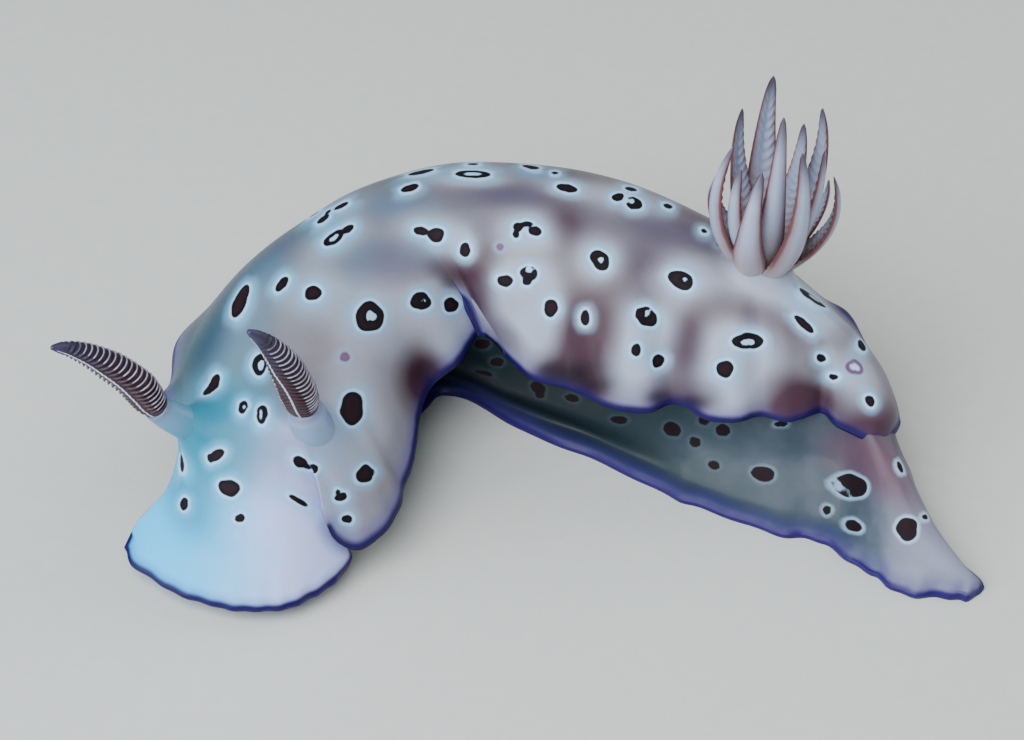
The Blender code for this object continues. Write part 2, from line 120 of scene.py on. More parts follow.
class Finish:
    """A material on the Principled shader; node() adds any other node."""

    def __init__(self, name, **constants):
        self.material = bpy.data.materials.new(name)
        self.material.use_nodes = True
        self.tree = self.material.node_tree
        self.show(**constants)

    def show(self, **sockets):
        """Sets the shader's sockets, each to a number, a colour or a Value."""
        for name, value in sockets.items():
            self.feed(self.tree.nodes["Principled BSDF"].inputs[name.replace("_", " ")], value)

    def node(self, kind, settings=None, inputs=None, output=0):
        made = self.tree.nodes.new(kind)
        for name, value in (settings or {}).items():
            setattr(made, name, value)
        for name, value in (inputs or {}).items():
            self.feed(made.inputs[name], value)
        return Value(self, made.outputs[output])

    def feed(self, socket, value):
        if isinstance(value, Value):
            self.tree.links.new(value.socket, socket)
        else:
            socket.default_value = value

    def attribute(self, name):
        return self.node("ShaderNodeAttribute", {"attribute_name": name}, output="Fac")

    def noise(self, scale, detail=3.0, roughness=0.55):
        """Soft mottling; scale is in features per metre."""
        place = self.node("ShaderNodeTexCoord", output="Object")
        inputs = {"Vector": place, "Scale": scale, "Detail": detail, "Roughness": roughness}
        return self.node("ShaderNodeTexNoise", {}, inputs)

    def ramp(self, value, low, high):
        """0 up to low, 1 from high, smooth between."""
        inputs = {"Value": value, "From Min": low, "From Max": high}
        return self.node("ShaderNodeMapRange", {"interpolation_type": "SMOOTHSTEP"}, inputs)

    def fade(self, value, low, high):
        """1 up to low, 0 from high, smooth between."""
        return 1 - self.ramp(value, low, high)

    def mix(self, share, first, second):
        inputs = {0: share, 6: first, 7: second}
        return self.node("ShaderNodeMix", {"data_type": "RGBA"}, inputs, output=2)

    def layer(self, share, tone):
        """Lays a tone over the colour so far, as strongly as share says."""
        self.colour = self.mix(share, self.colour, tone)

    def bump(self, height, distance, strength):
        inputs = {"Height": height, "Distance": distance, "Strength": strength}
        return self.node("ShaderNodeBump", {}, inputs)

    def wear(self, obj):
        obj.data.materials.clear()
        obj.data.materials.append(self.material)


def tint(red, green, blue):
    """A colour as seen on a screen, 0 to 255, as the shader's linear colour."""
    parts = [part / 255 for part in (red, green, blue)]
    return tuple(p / 12.92 if p < 0.04 else ((p + 0.055) / 1.055) ** 2.4 for p in parts) + (1.0,)


def smooth_object(name, shape):
    """Puts a finished bmesh in the scene as a smooth object."""
    mesh = bpy.data.meshes.new(name)
    shape.to_mesh(mesh)
    shape.free()
    mesh.polygons.foreach_set("use_smooth", [True] * len(mesh.polygons))
    obj = bpy.data.objects.new(name, mesh)
    bpy.context.scene.collection.objects.link(obj)
    return obj


FLOOR_REACH = 0.6
FLOOR_FLAT = 0.2
FLOOR_CURVE = 2.5
floor_shape = bmesh.new()
bmesh.ops.create_grid(floor_shape, x_segments=1, y_segments=60, size=FLOOR_REACH)
for vertex in floor_shape.verts:
    if vertex.co.y > FLOOR_FLAT:
        vertex.co.z = (vertex.co.y - FLOOR_FLAT) ** 2 * FLOOR_CURVE
floor = smooth_object("floor", floor_shape)
table_top = Finish("pale_table", Roughness=0.7)
mottle = table_top.noise(900.0)
table_top.show(Base_Color=table_top.mix(mottle, tint(196, 200, 198), tint(206, 208, 205)))
table_top.wear(floor)

# The mantle: one soft wet skin from the front flap over the head, round the bend and back to
# the rear tip. It is a thin sheet of flesh, creamy white, with a free wavy margin all round
# that overlaps itself in two pleats, and it rises round the feelers and the gills.

SOLE_POINT = np.array((2.4, 6.4, 0.0))
# Each row crosses the body: where it meets the left margin, the crest and the right margin.
MANTLE_ROWS = [
    ((-9.7, -12.4, 1.4), (-15.0, -14.8, 1.2), (-22.15, -10.7, 1.5)),
    ((-9.0, -11.5, 1.7), (-14.8, -13.4, 3.6), (-21.15, -9.0, 2.4)),
    ((-9.0, -11.0, 1.9), (-14.4, -11.3, 7.2), (-19.35, -8.6, 4.6)),
    ((-9.4, -10.7, 2.3), (-13.8, -9.0, 9.6), (-18.6, -7.2, 6.6)),
    ((-8.3, -11.2, 2.5), (-13.5, -7.4, 10.3), (-19.0, -5.6, 7.0)),
    ((-6.2, -8.6, 3.2), (-13.2, -5.4, 11.0), (-19.5, -3.1, 7.0)),
    ((-5.6, -5.0, 4.6), (-12.6, -2.4, 11.8), (-19.1, 0.5, 7.1)),
    ((-4.4, -0.8, 5.9), (-11.1, 1.5, 12.6), (-17.2, 5.4, 7.1)),
    ((-2.1, 2.3, 6.9), (-8.3, 5.4, 13.1), (-13.5, 9.5, 7.0)),
    ((-1.4, 1.4, 7.1), (-6.1, 6.7, 13.4), (-9.4, 12.9, 6.9)),
    ((1.0, -1.2, 6.6), (-2.2, 7.5, 13.7), (-3.9, 14.7, 6.8)),
    ((4.6, -3.2, 6.3), (2.4, 6.8, 13.7), (3.6, 14.4, 6.8)),
    ((8.4, -3.9, 6.2), (6.8, 5.2, 13.6), (9.4, 12.2, 6.9)),
    ((11.0, -3.5, 6.2), (11.6, 2.8, 13.0), (13.4, 8.8, 7.3)),
    ((14.4, -4.8, 6.0), (14.6, 1.0, 12.5), (17.4, 5.1, 8.2)),
    ((17.0, -4.3, 6.0), (17.4, -0.9, 11.2), (19.6, 2.0, 7.8)),
    ((19.0, -4.8, 5.7), (19.6, -2.6, 9.2), (21.3, -0.9, 6.9)),
    ((20.6, -5.7, 5.2), (21.4, -4.3, 7.0), (22.0, -2.8, 6.0)),
    ((21.5, -4.9, 5.0), (21.9, -4.5, 5.3), (22.2, -3.9, 5.4)),
]
# The left margin where the camera sees it: the row, and where the margin runs there.
LEFT_MARGIN = [
    (3.0, -10.2, -11.9, 4.65), (3.1, -10.1, -12.0, 4.25), (3.25, -9.8, -12.0, 3.7),
    (3.45, -9.4, -11.8, 3.1), (3.65, -9.0, -11.6, 2.6), (3.85, -8.5, -11.5, 2.5),
    (4.17, -8.0, -11.2, 2.6), (4.56, -6.9, -10.1, 2.8), (4.82, -6.5, -9.2, 3.0),
    (5.06, -6.1, -8.4, 3.3), (5.26, -6.2, -7.7, 3.5), (5.70, -5.6, -6.2, 4.2), (6.09, -5.4, -4.7, 4.7),
    (6.39, -5.3, -3.3, 5.1), (6.66, -5.0, -2.2, 5.5), (6.88, -4.4, -1.3, 5.8), (7.15, -3.7, -0.6, 6.1),
    (7.44, -2.9, 0.2, 6.4), (7.67, -2.5, 1.2, 6.6), (8.00, -1.9, 2.3, 6.9), (8.68, -1.3, 1.9, 7.1),
    (9.18, -0.7, 0.8, 7.1), (9.50, -0.2, -0.1, 6.9), (9.80, 0.55, -0.9, 6.7), (10.03, 1.1, -1.5, 6.6),
    (10.48, 2.7, -2.0, 6.4), (10.71, 3.5, -2.7, 6.4), (11.28, 5.6, -3.8, 6.3), (11.83, 7.8, -4.1, 6.2),
    (12.19, 8.9, -3.6, 6.2), (12.61, 10.0, -3.7, 6.2), (13.09, 11.1, -4.7, 6.2),
    (13.59, 12.9, -4.9, 6.1), (13.84, 14.0, -4.1, 6.0), (14.44, 15.6, -4.6, 6.0),
    (15.02, 17.1, -4.1, 6.0), (15.32, 17.8, -3.7, 5.9), (15.62, 18.3, -4.6, 5.8),
    (16.82, 20.4, -5.5, 5.3), (17.5, 21.1, -5.3, 5.1), (18.0, 21.5, -4.9, 5.0),
]
BACK_FULLNESS = 2.7
FRONT_BOW = 0.1
ALONG_STEPS = 400
ACROSS_STEPS = 150
RUFFLE = 0.2
RUFFLE_LENGTH = 5.3
# Each ring of the underside: how far in it lies across and along, and how far below the skin.
UNDERSIDE = [(0.012, 0.03, 0.25), (0.05, 0.12, 0.4), (0.16, 0.4, 0.7), (0.4, 1.0, 1.1), (1.0, 2.0, 1.8)]
# A pleat's row at the margin, how far that shifts towards the crest, the share outward where
# it begins, how far the rear side laps over the front side, how far it stands up, over how
# many rows it fades, how far its edge bows, and the share outward where it turns violet.
Pleat = namedtuple("Pleat", "row slant begins lap lift fade bow violet")
PLEATS = [
    Pleat(8.0, 0.35, 0.74, 0.8, 0.5, 0.8, 0.1, 0.75),
    Pleat(3.0, 0.4, 0.9, 0.2, 0.3, 0.7, 0.0, 0.98),
]
# Each shallow fold of the left side: its row, its width in rows and its depth.
FOLDS = [(10.75, 0.3, 0.45), (12.35, 0.28, 0.4), (15.2, 0.3, 0.2), (7.0, 0.3, 0.35)]
GILL_SEAT = np.array((14.2, 1.9, 12.5))
GILL_AXIS = np.array(Vector((0.21, -0.13, 0.97)).normalized())
# Each feeler: its seat, its tip, how far it bows, and how far the top of its stalk shifts.
FEELER_SEATS = {
    "right": ((-16.9, -7.8, 8.1), (-24.3, -11.2, 16.9), (-0.1, 0.4, 0.7), (-0.45, -0.1, -0.2)),
    "left": ((-10.6, -8.7, 8.1), (-13.7, -12.2, 18.9), (0.5, 0.3, 0.3), (0.0, 0.1, 0.1)),
}


def smooth_curve(points, places):
    """Points on the Catmull-Rom curve through the guide points, at fractional row numbers."""
    count = len(points)
    places = np.clip(places, 0, count - 1)
    index = np.minimum(places.astype(int), count - 2)
    share = (places - index)[:, None]
    first = points[index]
    second = points[index + 1]
    before = np.where(index[:, None] > 0, points[np.maximum(index - 1, 0)], 2 * first - second)
    last = index[:, None] < count - 2
    after = np.where(last, points[np.minimum(index + 2, count - 1)], 2 * second - first)
    return 0.5 * (
        2 * first
        + (second - before) * share
        + (2 * before - 5 * first + 4 * second - after) * share**2
        + (3 * first - before - 3 * second + after) * share**3
    )


def rising(values, low, high):
    """0 up to low, 1 from high, smooth between."""
    share = np.clip((values - low) / (high - low), 0, 1)
    return share * share * (3 - 2 * share)


rows = np.array(MANTLE_ROWS, float)
margin = np.array(LEFT_MARGIN, float)


def pleat_row(pleat, share):
    """The row along which a pleat's edge runs, at each share outward from the crest."""
    near = np.clip((1 - share) / (1 - pleat.begins), 0, 1)
    return pleat.row + pleat.slant * (1 - share) + pleat.bow * 4 * near * (1 - near)


def left_edge(place, share):
    """The left margin: through the rows over the head, then as the camera sees it."""
    line = smooth_curve(rows[:, 0], place)
    seen = np.zeros((len(place), 3))
    for step in (-0.1, 0.0, 0.1):
        for index in range(3):
            seen[:, index] += np.interp(place + step, margin[:, 0], margin[:, index + 1]) / 3
    # From the flap to the lobe beside it the margin jumps, as they overlap there.
    gap = 0.35 * (1 - rising(share, 0.6, 0.97)) + 0.0004
    turned = rising(place - pleat_row(PLEATS[1], share), -gap, gap)[:, None]
    return line * (1 - turned) + seen * turned


def mantle_skin(place, across):
    """Points of the mantle's outer face, in millimetres.

    place runs along the rows, and across from -1 at the left margin to 1 at the right.
    """
    share = np.abs(across)
    edge_left = left_edge(place, share)
    crest = smooth_curve(rows[:, 1], place)
    edge_right = smooth_curve(rows[:, 2], place)
    edge = np.where(across[:, None] < 0, edge_left, edge_right)
    way = edge - crest
    way[:, 2] = 0
    both = (edge_left - edge_right) / 2 * np.where(across < 0, 1, -1)[:, None]
    both[:, 2] = 0
    point = crest + both * share[:, None] + (way - both) * (share**2)[:, None]
    # Behind the gills the far side is hollow, so its margin stands up as a thin wing.
    wing = np.exp(-(((place - 14.6) / 1.1) ** 2)) * (across > 0)
    point[:, 2] = crest[:, 2] - (crest[:, 2] - edge[:, 2]) * share ** (BACK_FULLNESS - 1.4 * wing)
    forward = np.stack([way[:, 1], -way[:, 0], np.zeros(len(way))], 1)
    forward /= np.maximum(np.linalg.norm(forward, axis=1, keepdims=True), 1e-9)
    forward *= np.where(forward[:, 1:2] > 0, -1, 1)
    front = np.clip(1 - place / 3.0, 0, 1)
    uneven = front**6 * (0.05 * np.sin(across * 13 + 1) + 0.04 * np.sin(across * 31))
    uneven = uneven - 0.65 * front**4 * rising(across, 0.86, 1.0) ** 2
    point += forward * (front * FRONT_BOW * np.sin(np.pi * share) + uneven)[:, None]
    # The margin turns out a little and waves.
    hem = rising(share, 0.84, 1.0) * rising(place, 3.0, 5.0) * rising(-place, -16.4, -14.5)
    side = way / np.maximum(np.linalg.norm(way, axis=1, keepdims=True), 1e-9)
    wave = np.sin(place * 2 * np.pi * 3.6 / RUFFLE_LENGTH + across * 0.6)
    point += side * (hem * np.where(across > 0, 0.3 + 0.2 * wave, 0.0))[:, None]
    point[:, 2] += hem * RUFFLE * wave * np.where(across > 0, 1.0, 0.4)
    # Between its lobes the left side dips in shallow folds that run up from the margin.
    for row, width, depth in FOLDS:
        dip = depth * np.exp(-(((place - row) / width) ** 2)) * rising(-across, 0.35, 0.9)
        point -= side * dip[:, None]
        point[:, 2] -= dip * 0.3
    # In a pleat the rear side laps over the front side, more the nearer the margin.
    ends = np.ones(1)
    for pleat in PLEATS:
        row = pleat_row(pleat, share)
        depth = rising(-across, pleat.begins, 1.0) ** 0.6
        rear = np.exp(-np.clip(place - row, 0, None) / pleat.fade) * (place >= row)
        fore = np.exp(-np.clip(row - place, 0, None) / (pleat.fade * 0.5)) * (place < row)
        ahead = left_edge(ends * pleat.row - 0.5, ends) - left_edge(ends * pleat.row + 0.9, ends)
        ahead = ahead / np.linalg.norm(ahead)
        point += ahead * (depth * pleat.lap * (rear * 0.6 - fore * 0.4))[:, None]
        lifted = depth * pleat.lift * (rear - fore * 0.5)
        point += side * (lifted * 0.8)[:, None]
        point[:, 2] += lifted * 0.5
    # It rises in a low cone round each feeler and in a soft rim round the gills.
    for seat, tip, bow, knee in np.array(list(FEELER_SEATS.values())):
        axis = (tip - seat) * 0.15 + bow * 0.2 + knee * 0.25
        axis /= np.linalg.norm(axis)
        height, away = from_axis(point, seat, axis)
        rise = np.clip(2.4 - height, 0, 4) * np.exp(-((away / 1.3) ** 2))
        point += axis * (rise * (np.abs(height) < 5))[:, None]
    height, away = from_axis(point, GILL_SEAT, GILL_AXIS)
    swell = 0.7 * np.exp(-(((away - 1.75) / 0.45) ** 2)) - 0.9 * rising(-away, -1.5, -1.0)
    point += GILL_AXIS * (swell * (np.abs(height) < 4))[:, None]
    return point


def from_axis(point, seat, axis):
    """How high points lie along an axis from its seat, and how far away from it."""
    off = point - seat
    height = off @ axis
    return height, np.linalg.norm(off - axis * height[:, None], axis=1)


def spread(across):
    """Across as a share of the grid, with the columns closer near the margins."""
    share = np.abs(across)
    return np.sign(across) * (share + 0.1 * np.sin(np.pi * share))


def flat_grid(along, across):
    """A flat grid of faces, and its points' places, from -1 to 1 both ways."""
    shape = bmesh.new()
    bmesh.ops.create_grid(shape, x_segments=along, y_segments=across, size=1.0)
    return shape, np.array([vertex.co for vertex in shape.verts])


def extruded(shape, edges):
    """Pulls a strip of faces out of open edges. Returns its free points and free edges."""
    strip = bmesh.ops.extrude_edge_only(shape, edges=edges)["geom"]
    fresh = [item for item in strip if isinstance(item, bmesh.types.BMVert)]
    return fresh, [item for item in strip if isinstance(item, bmesh.types.BMEdge)]


Surface = namedtuple("Surface", "points normals tree")


def closed(shape, seam):
    """Joins the points of the seam, turns the faces outwards, and returns the Surface."""
    bmesh.ops.remove_doubles(shape, verts=seam, dist=0.001)
    bmesh.ops.recalc_face_normals(shape, faces=shape.faces)
    shape.normal_update()
    points = np.array([vertex.co for vertex in shape.verts])
    normals = np.array([vertex.normal for vertex in shape.verts])
    return Surface(points, normals, BVHTree.FromBMesh(shape))


def piece(name, shape, slot, *nodes):
    """Makes a bmesh in millimetres a piece of the animal that stands for these solids."""
    for vertex in shape.verts:
        vertex.co *= MM
    obj = smooth_object(name, shape)
    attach(obj, "root")
    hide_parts(*nodes)
    return obj


shape, grid = flat_grid(ALONG_STEPS, ACROSS_STEPS)
last_row = len(MANTLE_ROWS) - 1
places = (grid[:, 0] + 1) / 2 * last_row
acrosses = spread(grid[:, 1])
# Two columns of the grid run along either side of each pleat's edge.
for pleat in PLEATS:
    off = places - pleat.row
    step = last_row / ALONG_STEPS
    off = np.where(np.abs(off) < step, np.where(off < 0, -0.0005, 0.0005), off)
    lean = (pleat_row(pleat, np.abs(acrosses)) - pleat.row) * np.exp(-((off / 1.5) ** 2))
    places = pleat.row + off + lean * rising(-acrosses, 0.2, 0.7)
points = mantle_skin(places, acrosses) - SOLE_POINT
along = shape.verts.layers.float.new("row")
aside = shape.verts.layers.float.new("across")
for vertex, point, place, across in zip(shape.verts, points, places, acrosses):
    vertex.co = point
    vertex[along] = place
    vertex[aside] = across
hem_points = [vertex.co.copy() for vertex in shape.verts if vertex.is_boundary]
# The underside follows the outer face inward, and is thin at the margin.
edges = [edge for edge in shape.edges if edge.is_boundary]
for inset, row_inset, thick in UNDERSIDE:
    fresh, edges = extruded(shape, edges)
    inner = mantle_skin(
        np.clip([vertex[along] for vertex in fresh], row_inset, last_row - row_inset * 0.5),
        np.clip([vertex[aside] for vertex in fresh], -1 + inset, 1 - inset),
    )
    for vertex, point in zip(fresh, inner - SOLE_POINT - (0, 0, thick)):
        vertex.co = point
surface = closed(shape, fresh)

# The markings were read from the animal's left side as the camera shows it: each is a dark
# maroon spot, or a ring round a pale centre. Places and sizes are in pixels of the picture, and
# a ring's hole has its place from the mark's middle.
Mark = namedtuple(
    "Mark", "x y width height tilt hole_x hole_y hole_width hole_height", defaults=(0, 0, 0, 0)
)
MANTLE_MARKS = [
    (260, 364, 22, 15, 80, 1, 1, 9, 6), (214, 384, 20, 10, 65), (208, 391, 12, 7, 40),
    (243, 407, 13, 9, 75, 1, 0, 4, 2), (262, 414, 18, 11, 88, -1, 0, 9, 2), (352, 409, 32, 20, 95),
    (217, 455, 16, 10, 35), (211, 458, 8, 9, 0), (300, 462, 14, 11, -25), (306, 466, 12, 5, -25),
    (313, 469, 11, 9, -20), (365, 474, 18, 15, 75), (370, 472, 9, 8, 0), (229, 488, 22, 16, -12),
    (184, 504, 13, 9, 80), (299, 501, 22, 5, -33), (341, 497, 13, 8, 18), (338, 492, 5, 5, 0),
    (240, 518, 11, 8, 20), (347, 519, 11, 8, -5), (182, 463, 18, 5, 95), (240, 301, 35, 14, 72),
    (282, 284, 18, 9, 55), (313, 293, 17, 15, 10), (370, 317, 27, 30, 0, 1, -1, 10, 9),
    (421, 301, 21, 18, 0, 3, -1, 5, 3), (451, 305, 15, 15, 0), (421, 231, 16, 9, -10),
    (436, 235, 17, 15, 0), (465, 250, 15, 11, 90), (518, 227, 10, 10, 0), (516, 234, 7, 9, 0),
    (535, 231, 14, 10, -15), (527, 224, 12, 6, 0), (505, 281, 16, 12, -5),
    (529, 273, 18, 14, -10, 0, -3, 7, 6), (527, 281, 10, 9, 0), (551, 308, 18, 14, 85),
    (334, 238, 24, 12, 38, 0, 0, 11, 4), (348, 229, 13, 8, 32), (341, 206, 17, 5, 28),
    (323, 219, 15, 6, 38), (328, 212, 7, 4, 38), (314, 213, 12, 3, 38), (410, 188, 19, 8, 18),
    (421, 172, 27, 5, 12), (473, 174, 36, 9, -2, 0, 0, 18, 3), (473, 164, 12, 3, 0),
    (531, 167, 18, 5, -12), (555, 173, 8, 4, 0), (567, 188, 22, 9, -12), (618, 197, 13, 9, 20),
    (631, 189, 13, 5, -10), (634, 203, 17, 14, -20, -3, -2, 7, 5), (668, 206, 10, 6, -15),
    (704, 231, 7, 5, -30), (600, 260, 23, 17, -55, 1, 0, 6, 5), (681, 280, 26, 18, -28, 4, 0, 5, 4),
    (585, 318, 16, 9, 90), (647, 317, 22, 18, -40, 0, -3, 5, 7), (640, 314, 10, 12, 0),
    (636, 350, 13, 10, 85), (658, 361, 14, 12, 60), (748, 341, 30, 16, 2, 0, 1, 13, 6),
    (725, 369, 17, 17, 0), (813, 298, 33, 9, -33, 2, 0, 14, 3), (804, 324, 25, 8, -42),
    (821, 358, 10, 8, -20), (862, 345, 12, 8, -60), (833, 377, 9, 6, -10), (870, 401, 12, 9, -60),
]
# Faint purple dots and broken rings that haven't filled.
MANTLE_FAINT = [
    (345, 357, 10, 10, 0), (500, 247, 8, 8, 0), (855, 367, 19, 15, -20, 0, 0, 10, 6),
    (718, 244, 5, 5, 0), (728, 251, 4, 5, 0), (740, 262, 5, 6, 0), (755, 269, 5, 5, 0),
]
# Soft patches: x, y, width, height, tilt and strength. The brown-maroon dusk, partly the skin's own
# tone and partly painted shade, the painted shade of its deepest folds, the grey-blue dusk, partly the
# skin's own tone and partly painted shade, the pale domes between them, the painted shade in teal on
# the shaded side, and the cyan there, partly the skin's own tint and partly painted blue light.
MANTLE_PATCHES = {
    # The brown-maroon dusk: partly the skin's own tone, partly painted shade in the folds.
    "brown": [
        (425, 381, 50, 60, 20, 1.0), (476, 290, 40, 92, -5, 0.9), (447, 271, 40, 32, 0, 0.6),
        (463, 275, 34, 24, 10, 0.4), (577, 345, 48, 116, 5, 1.0), (568, 376, 64, 44, 20, 1.0),
        (590, 336, 34, 36, 0, 0.7), (612, 334, 24, 50, 10, 0.4), (580, 378, 76, 50, -10, 1.0),
        (598, 332, 44, 60, 10, 0.7), (505, 338, 64, 34, -45, 1.0), (570, 380, 84, 30, -20, 0.95),
        (672, 394, 90, 40, 0, 1.0), (690, 400, 52, 30, 10, 1.0), (686, 350, 44, 96, -12, 1.0),
        (798, 404, 96, 40, 8, 1.0), (864, 430, 84, 54, 20, 0.85), (590, 222, 120, 50, -22, 0.3),
        (545, 203, 100, 34, -6, 0.25), (640, 275, 66, 50, 0, 0.6), (657, 300, 40, 30, 0, 0.4),
        (612, 305, 50, 60, 20, 0.45), (560, 262, 44, 40, 0, 0.3), (760, 318, 100, 44, -22, 0.65),
        (782, 352, 36, 76, 8, 0.45), (782, 388, 60, 30, -10, 0.6), (564, 226, 36, 34, -20, 0.65),
        (685, 217, 90, 40, -30, 0.5), (492, 250, 44, 80, 0, 0.35), (843, 335, 40, 40, -40, 0.45),
    ],
    # Painted shade in the deepest folds.
    "deep": [
        (566, 377, 60, 26, 14, 1.0), (590, 388, 40, 18, 12, 0.9), (548, 370, 24, 14, 20, 0.7),
        (683, 404, 46, 16, 4, 1.0), (658, 398, 24, 14, 0, 0.7), (467, 308, 16, 40, -18, 0.9),
        (452, 284, 22, 20, 0, 0.6), (424, 374, 30, 26, -40, 0.5),
    ],
    # The grey-blue dusk: partly the skin's own tone, partly painted shade.
    "blue": [
        (262, 262, 60, 130, -40, 0.75), (215, 340, 50, 90, -25, 0.7), (385, 262, 110, 66, 10, 0.7),
        (440, 200, 130, 40, 10, 0.35), (385, 205, 90, 34, 25, 0.6), (262, 340, 40, 90, 0, 0.4),
        (330, 385, 70, 50, 0, 0.35), (275, 445, 140, 34, -8, 0.4), (510, 195, 90, 26, 0, 0.6),
        (600, 225, 150, 50, -22, 0.3), (650, 262, 60, 60, 0, 0.4), (650, 220, 90, 30, -25, 0.6),
        (700, 240, 50, 26, -35, 0.5), (396, 450, 24, 90, 0, 0.35),
    ],
    "pale": [
        (520, 342, 84, 76, -40, 1.0), (520, 278, 70, 40, 0, 0.9), (636, 380, 72, 70, 0, 1.0),
        (645, 335, 64, 70, 0, 1.0), (728, 385, 90, 66, 0, 1.0), (742, 345, 80, 50, 0, 1.0),
        (855, 380, 50, 60, 30, 0.7), (815, 305, 80, 44, -38, 0.9), (772, 285, 90, 40, -8, 0.9),
        (527, 232, 64, 40, 0, 0.9), (600, 261, 46, 44, 0, 0.85), (681, 280, 56, 46, 0, 0.9),
        (628, 200, 80, 32, -12, 0.7), (567, 188, 50, 20, -10, 0.6), (474, 174, 84, 24, 0, 0.8),
        (551, 310, 36, 44, 0, 0.8), (430, 234, 66, 34, -10, 0.9), (465, 250, 26, 30, 0, 0.8),
        (436, 304, 80, 46, 0, 0.95), (370, 318, 66, 70, 0, 0.9), (458, 335, 50, 50, 0, 0.8),
        (340, 236, 60, 36, 40, 0.8), (314, 292, 60, 44, 0, 0.8), (352, 420, 60, 100, 0, 0.9),
        (242, 303, 30, 54, -20, 0.7),
    ],
    # Painted shade in teal on the shaded side.
    "painted_shade_teal": [
        (194, 352, 44, 120, -25, 1.0), (200, 425, 70, 70, 0, 0.9), (222, 300, 40, 90, -35, 0.7),
        (232, 468, 90, 44, -10, 0.5), (187, 500, 50, 70, 30, 0.55), (285, 235, 90, 34, 38, 0.5),
        (400, 178, 120, 24, 12, 0.4), (270, 390, 60, 50, 0, 0.35), (520, 172, 100, 18, 0, 0.4),
    ],
    # Cyan on the shaded side: partly the skin's own tint, partly painted blue light.
    "cyan_tone_and_light": [
        (236, 350, 50, 110, -22, 0.9), (246, 388, 60, 60, 0, 0.8), (256, 425, 60, 70, 0, 0.5),
        (208, 462, 60, 80, 0, 0.8), (205, 520, 60, 60, 0, 0.4), (262, 278, 56, 60, -40, 0.8),
        (305, 290, 60, 60, -40, 0.55), (330, 232, 80, 44, -38, 0.9), (395, 205, 110, 40, -10, 0.45),
        (425, 240, 50, 40, 0, 0.5), (352, 300, 30, 60, 0, 0.4),
    ],
}
FOCUS = FRAME_WIDE * LENS / SENSOR
RIGHTWARD = np.array((1.0, 0.0, 0.0))
BACKWARD = np.array(backward)
UPWARD = np.cross(BACKWARD, RIGHTWARD)
PIXELS_PER_MM = FOCUS / CAMERA_FAR
NO_MARK = 9.0
MARK_REACH = 3.4
FAR_MARK_REACH = 3.0
FAR_MARK_TRIES = 900


def seen_at(tree, x, y):
    """Where the line of sight through a place in the picture meets the skin."""
    way = -BACKWARD * FOCUS + RIGHTWARD * (x - FRAME_WIDE / 2) - UPWARD * (y - FRAME_HIGH / 2)
    return tree.ray_cast(camera_place, Vector(way).normalized())[:2]


def level(flat, tilt):
    """Points of the picture plane, turned so that a tilted shape lies level."""
    turn = math.radians(tilt)
    along = flat[:, 0] * math.cos(turn) + flat[:, 1] * math.sin(turn)
    aside = flat[:, 1] * math.cos(turn) - flat[:, 0] * math.sin(turn)
    return np.stack([along, aside], 1)


def oval(flat, width, height, tilt):
    """About how far points of the picture plane lie outside a tilted oval."""
    half = np.array((max(width, 1) / 2, max(height, 1) / 2))
    both = level(flat, tilt)
    near = np.linalg.norm(both / half, axis=1)
    slope = np.maximum(np.linalg.norm(both / half**2, axis=1), 1e-6)
    return np.where(near < 1e-6, -half.min(), near * (near - 1) / slope)


def marked(surface, marks):
    """Each point's distance in millimetres from the nearest mark and the nearest outline."""
    mark = np.full(len(surface.points), NO_MARK)
    outline = mark.copy()
    spots = []
    for spot in (Mark(*line) for line in marks):
        # A mark on the very edge is nudged towards the middle of the animal.
        tries = (seen_at(surface.tree, spot.x + step * 0.4, spot.y + step * 1.2) for step in range(12))
        place, normal = next((seen for seen in tries if seen[0] is not None), (None, None))
        if place is None:
            continue
        spots.append(place)
        normal = np.array(normal)
        off = surface.points - np.array(place)
        near = np.nonzero(np.linalg.norm(off, axis=1) < MARK_REACH)[0]
        near = near[surface.normals[near] @ normal > 0.0]
        first = RIGHTWARD - normal * (RIGHTWARD @ normal)
        first /= np.linalg.norm(first)
        second = np.cross(normal, first)
        # On skin seen edge on, a mark isn't drawn out to more than three times its width.
        seen = np.array(((RIGHTWARD @ first, RIGHTWARD @ second), (UPWARD @ first, UPWARD @ second)))
        left, sizes, right = np.linalg.svd(seen)
        seen = left @ np.diag(np.maximum(sizes, 0.3)) @ right
        off = off[near]
        flat = np.stack([off @ first, off @ second], 1)
        length = np.linalg.norm(flat, axis=1)
        flat *= (np.linalg.norm(off, axis=1) / np.maximum(length, 1e-6))[:, None]
        flat = flat @ seen.T * PIXELS_PER_MM
        angle = np.arctan2(flat[:, 1], flat[:, 0])
        wobble = 0.025 * np.sin(3 * angle + spot.x) + 0.015 * np.sin(5 * angle + spot.y)
        wobble *= spot.height
        outer = oval(flat, spot.width, spot.height, spot.tilt) + wobble
        whole = outer
        if spot.hole_width:
            flat -= (spot.hole_x, -spot.hole_y)
            hole = oval(flat, spot.hole_width, spot.hole_height, spot.tilt) + wobble
            whole = np.maximum(outer, -hole)
        mark[near] = np.minimum(mark[near], whole / PIXELS_PER_MM)
        outline[near] = np.minimum(outline[near], outer / PIXELS_PER_MM)
    return mark, outline, spots


def patch_strength(surface, patches):
    """How strongly each point lies in the soft patches read from the picture, 0 to 1: own tones,
    painted shade and painted light.
    """
    total = np.zeros(len(surface.points))
    for x, y, width, height, tilt, strength in patches:
        place, normal = seen_at(surface.tree, x, y)
        if place is None:
            continue
        off = surface.points - np.array(place)
        flat = np.stack([off @ RIGHTWARD, off @ UPWARD], 1) * PIXELS_PER_MM
        both = level(flat, tilt) / (width / 2, height / 2)
        deep = (off @ BACKWARD) * PIXELS_PER_MM / max(width, height)
        amount = strength * np.exp(-0.69 * (np.sum(both**2, axis=1) + deep**2) ** 1.3)
        amount *= rising(surface.normals @ np.array(normal), -0.3, 0.3)
        total = 1 - (1 - total) * (1 - amount)
    return total


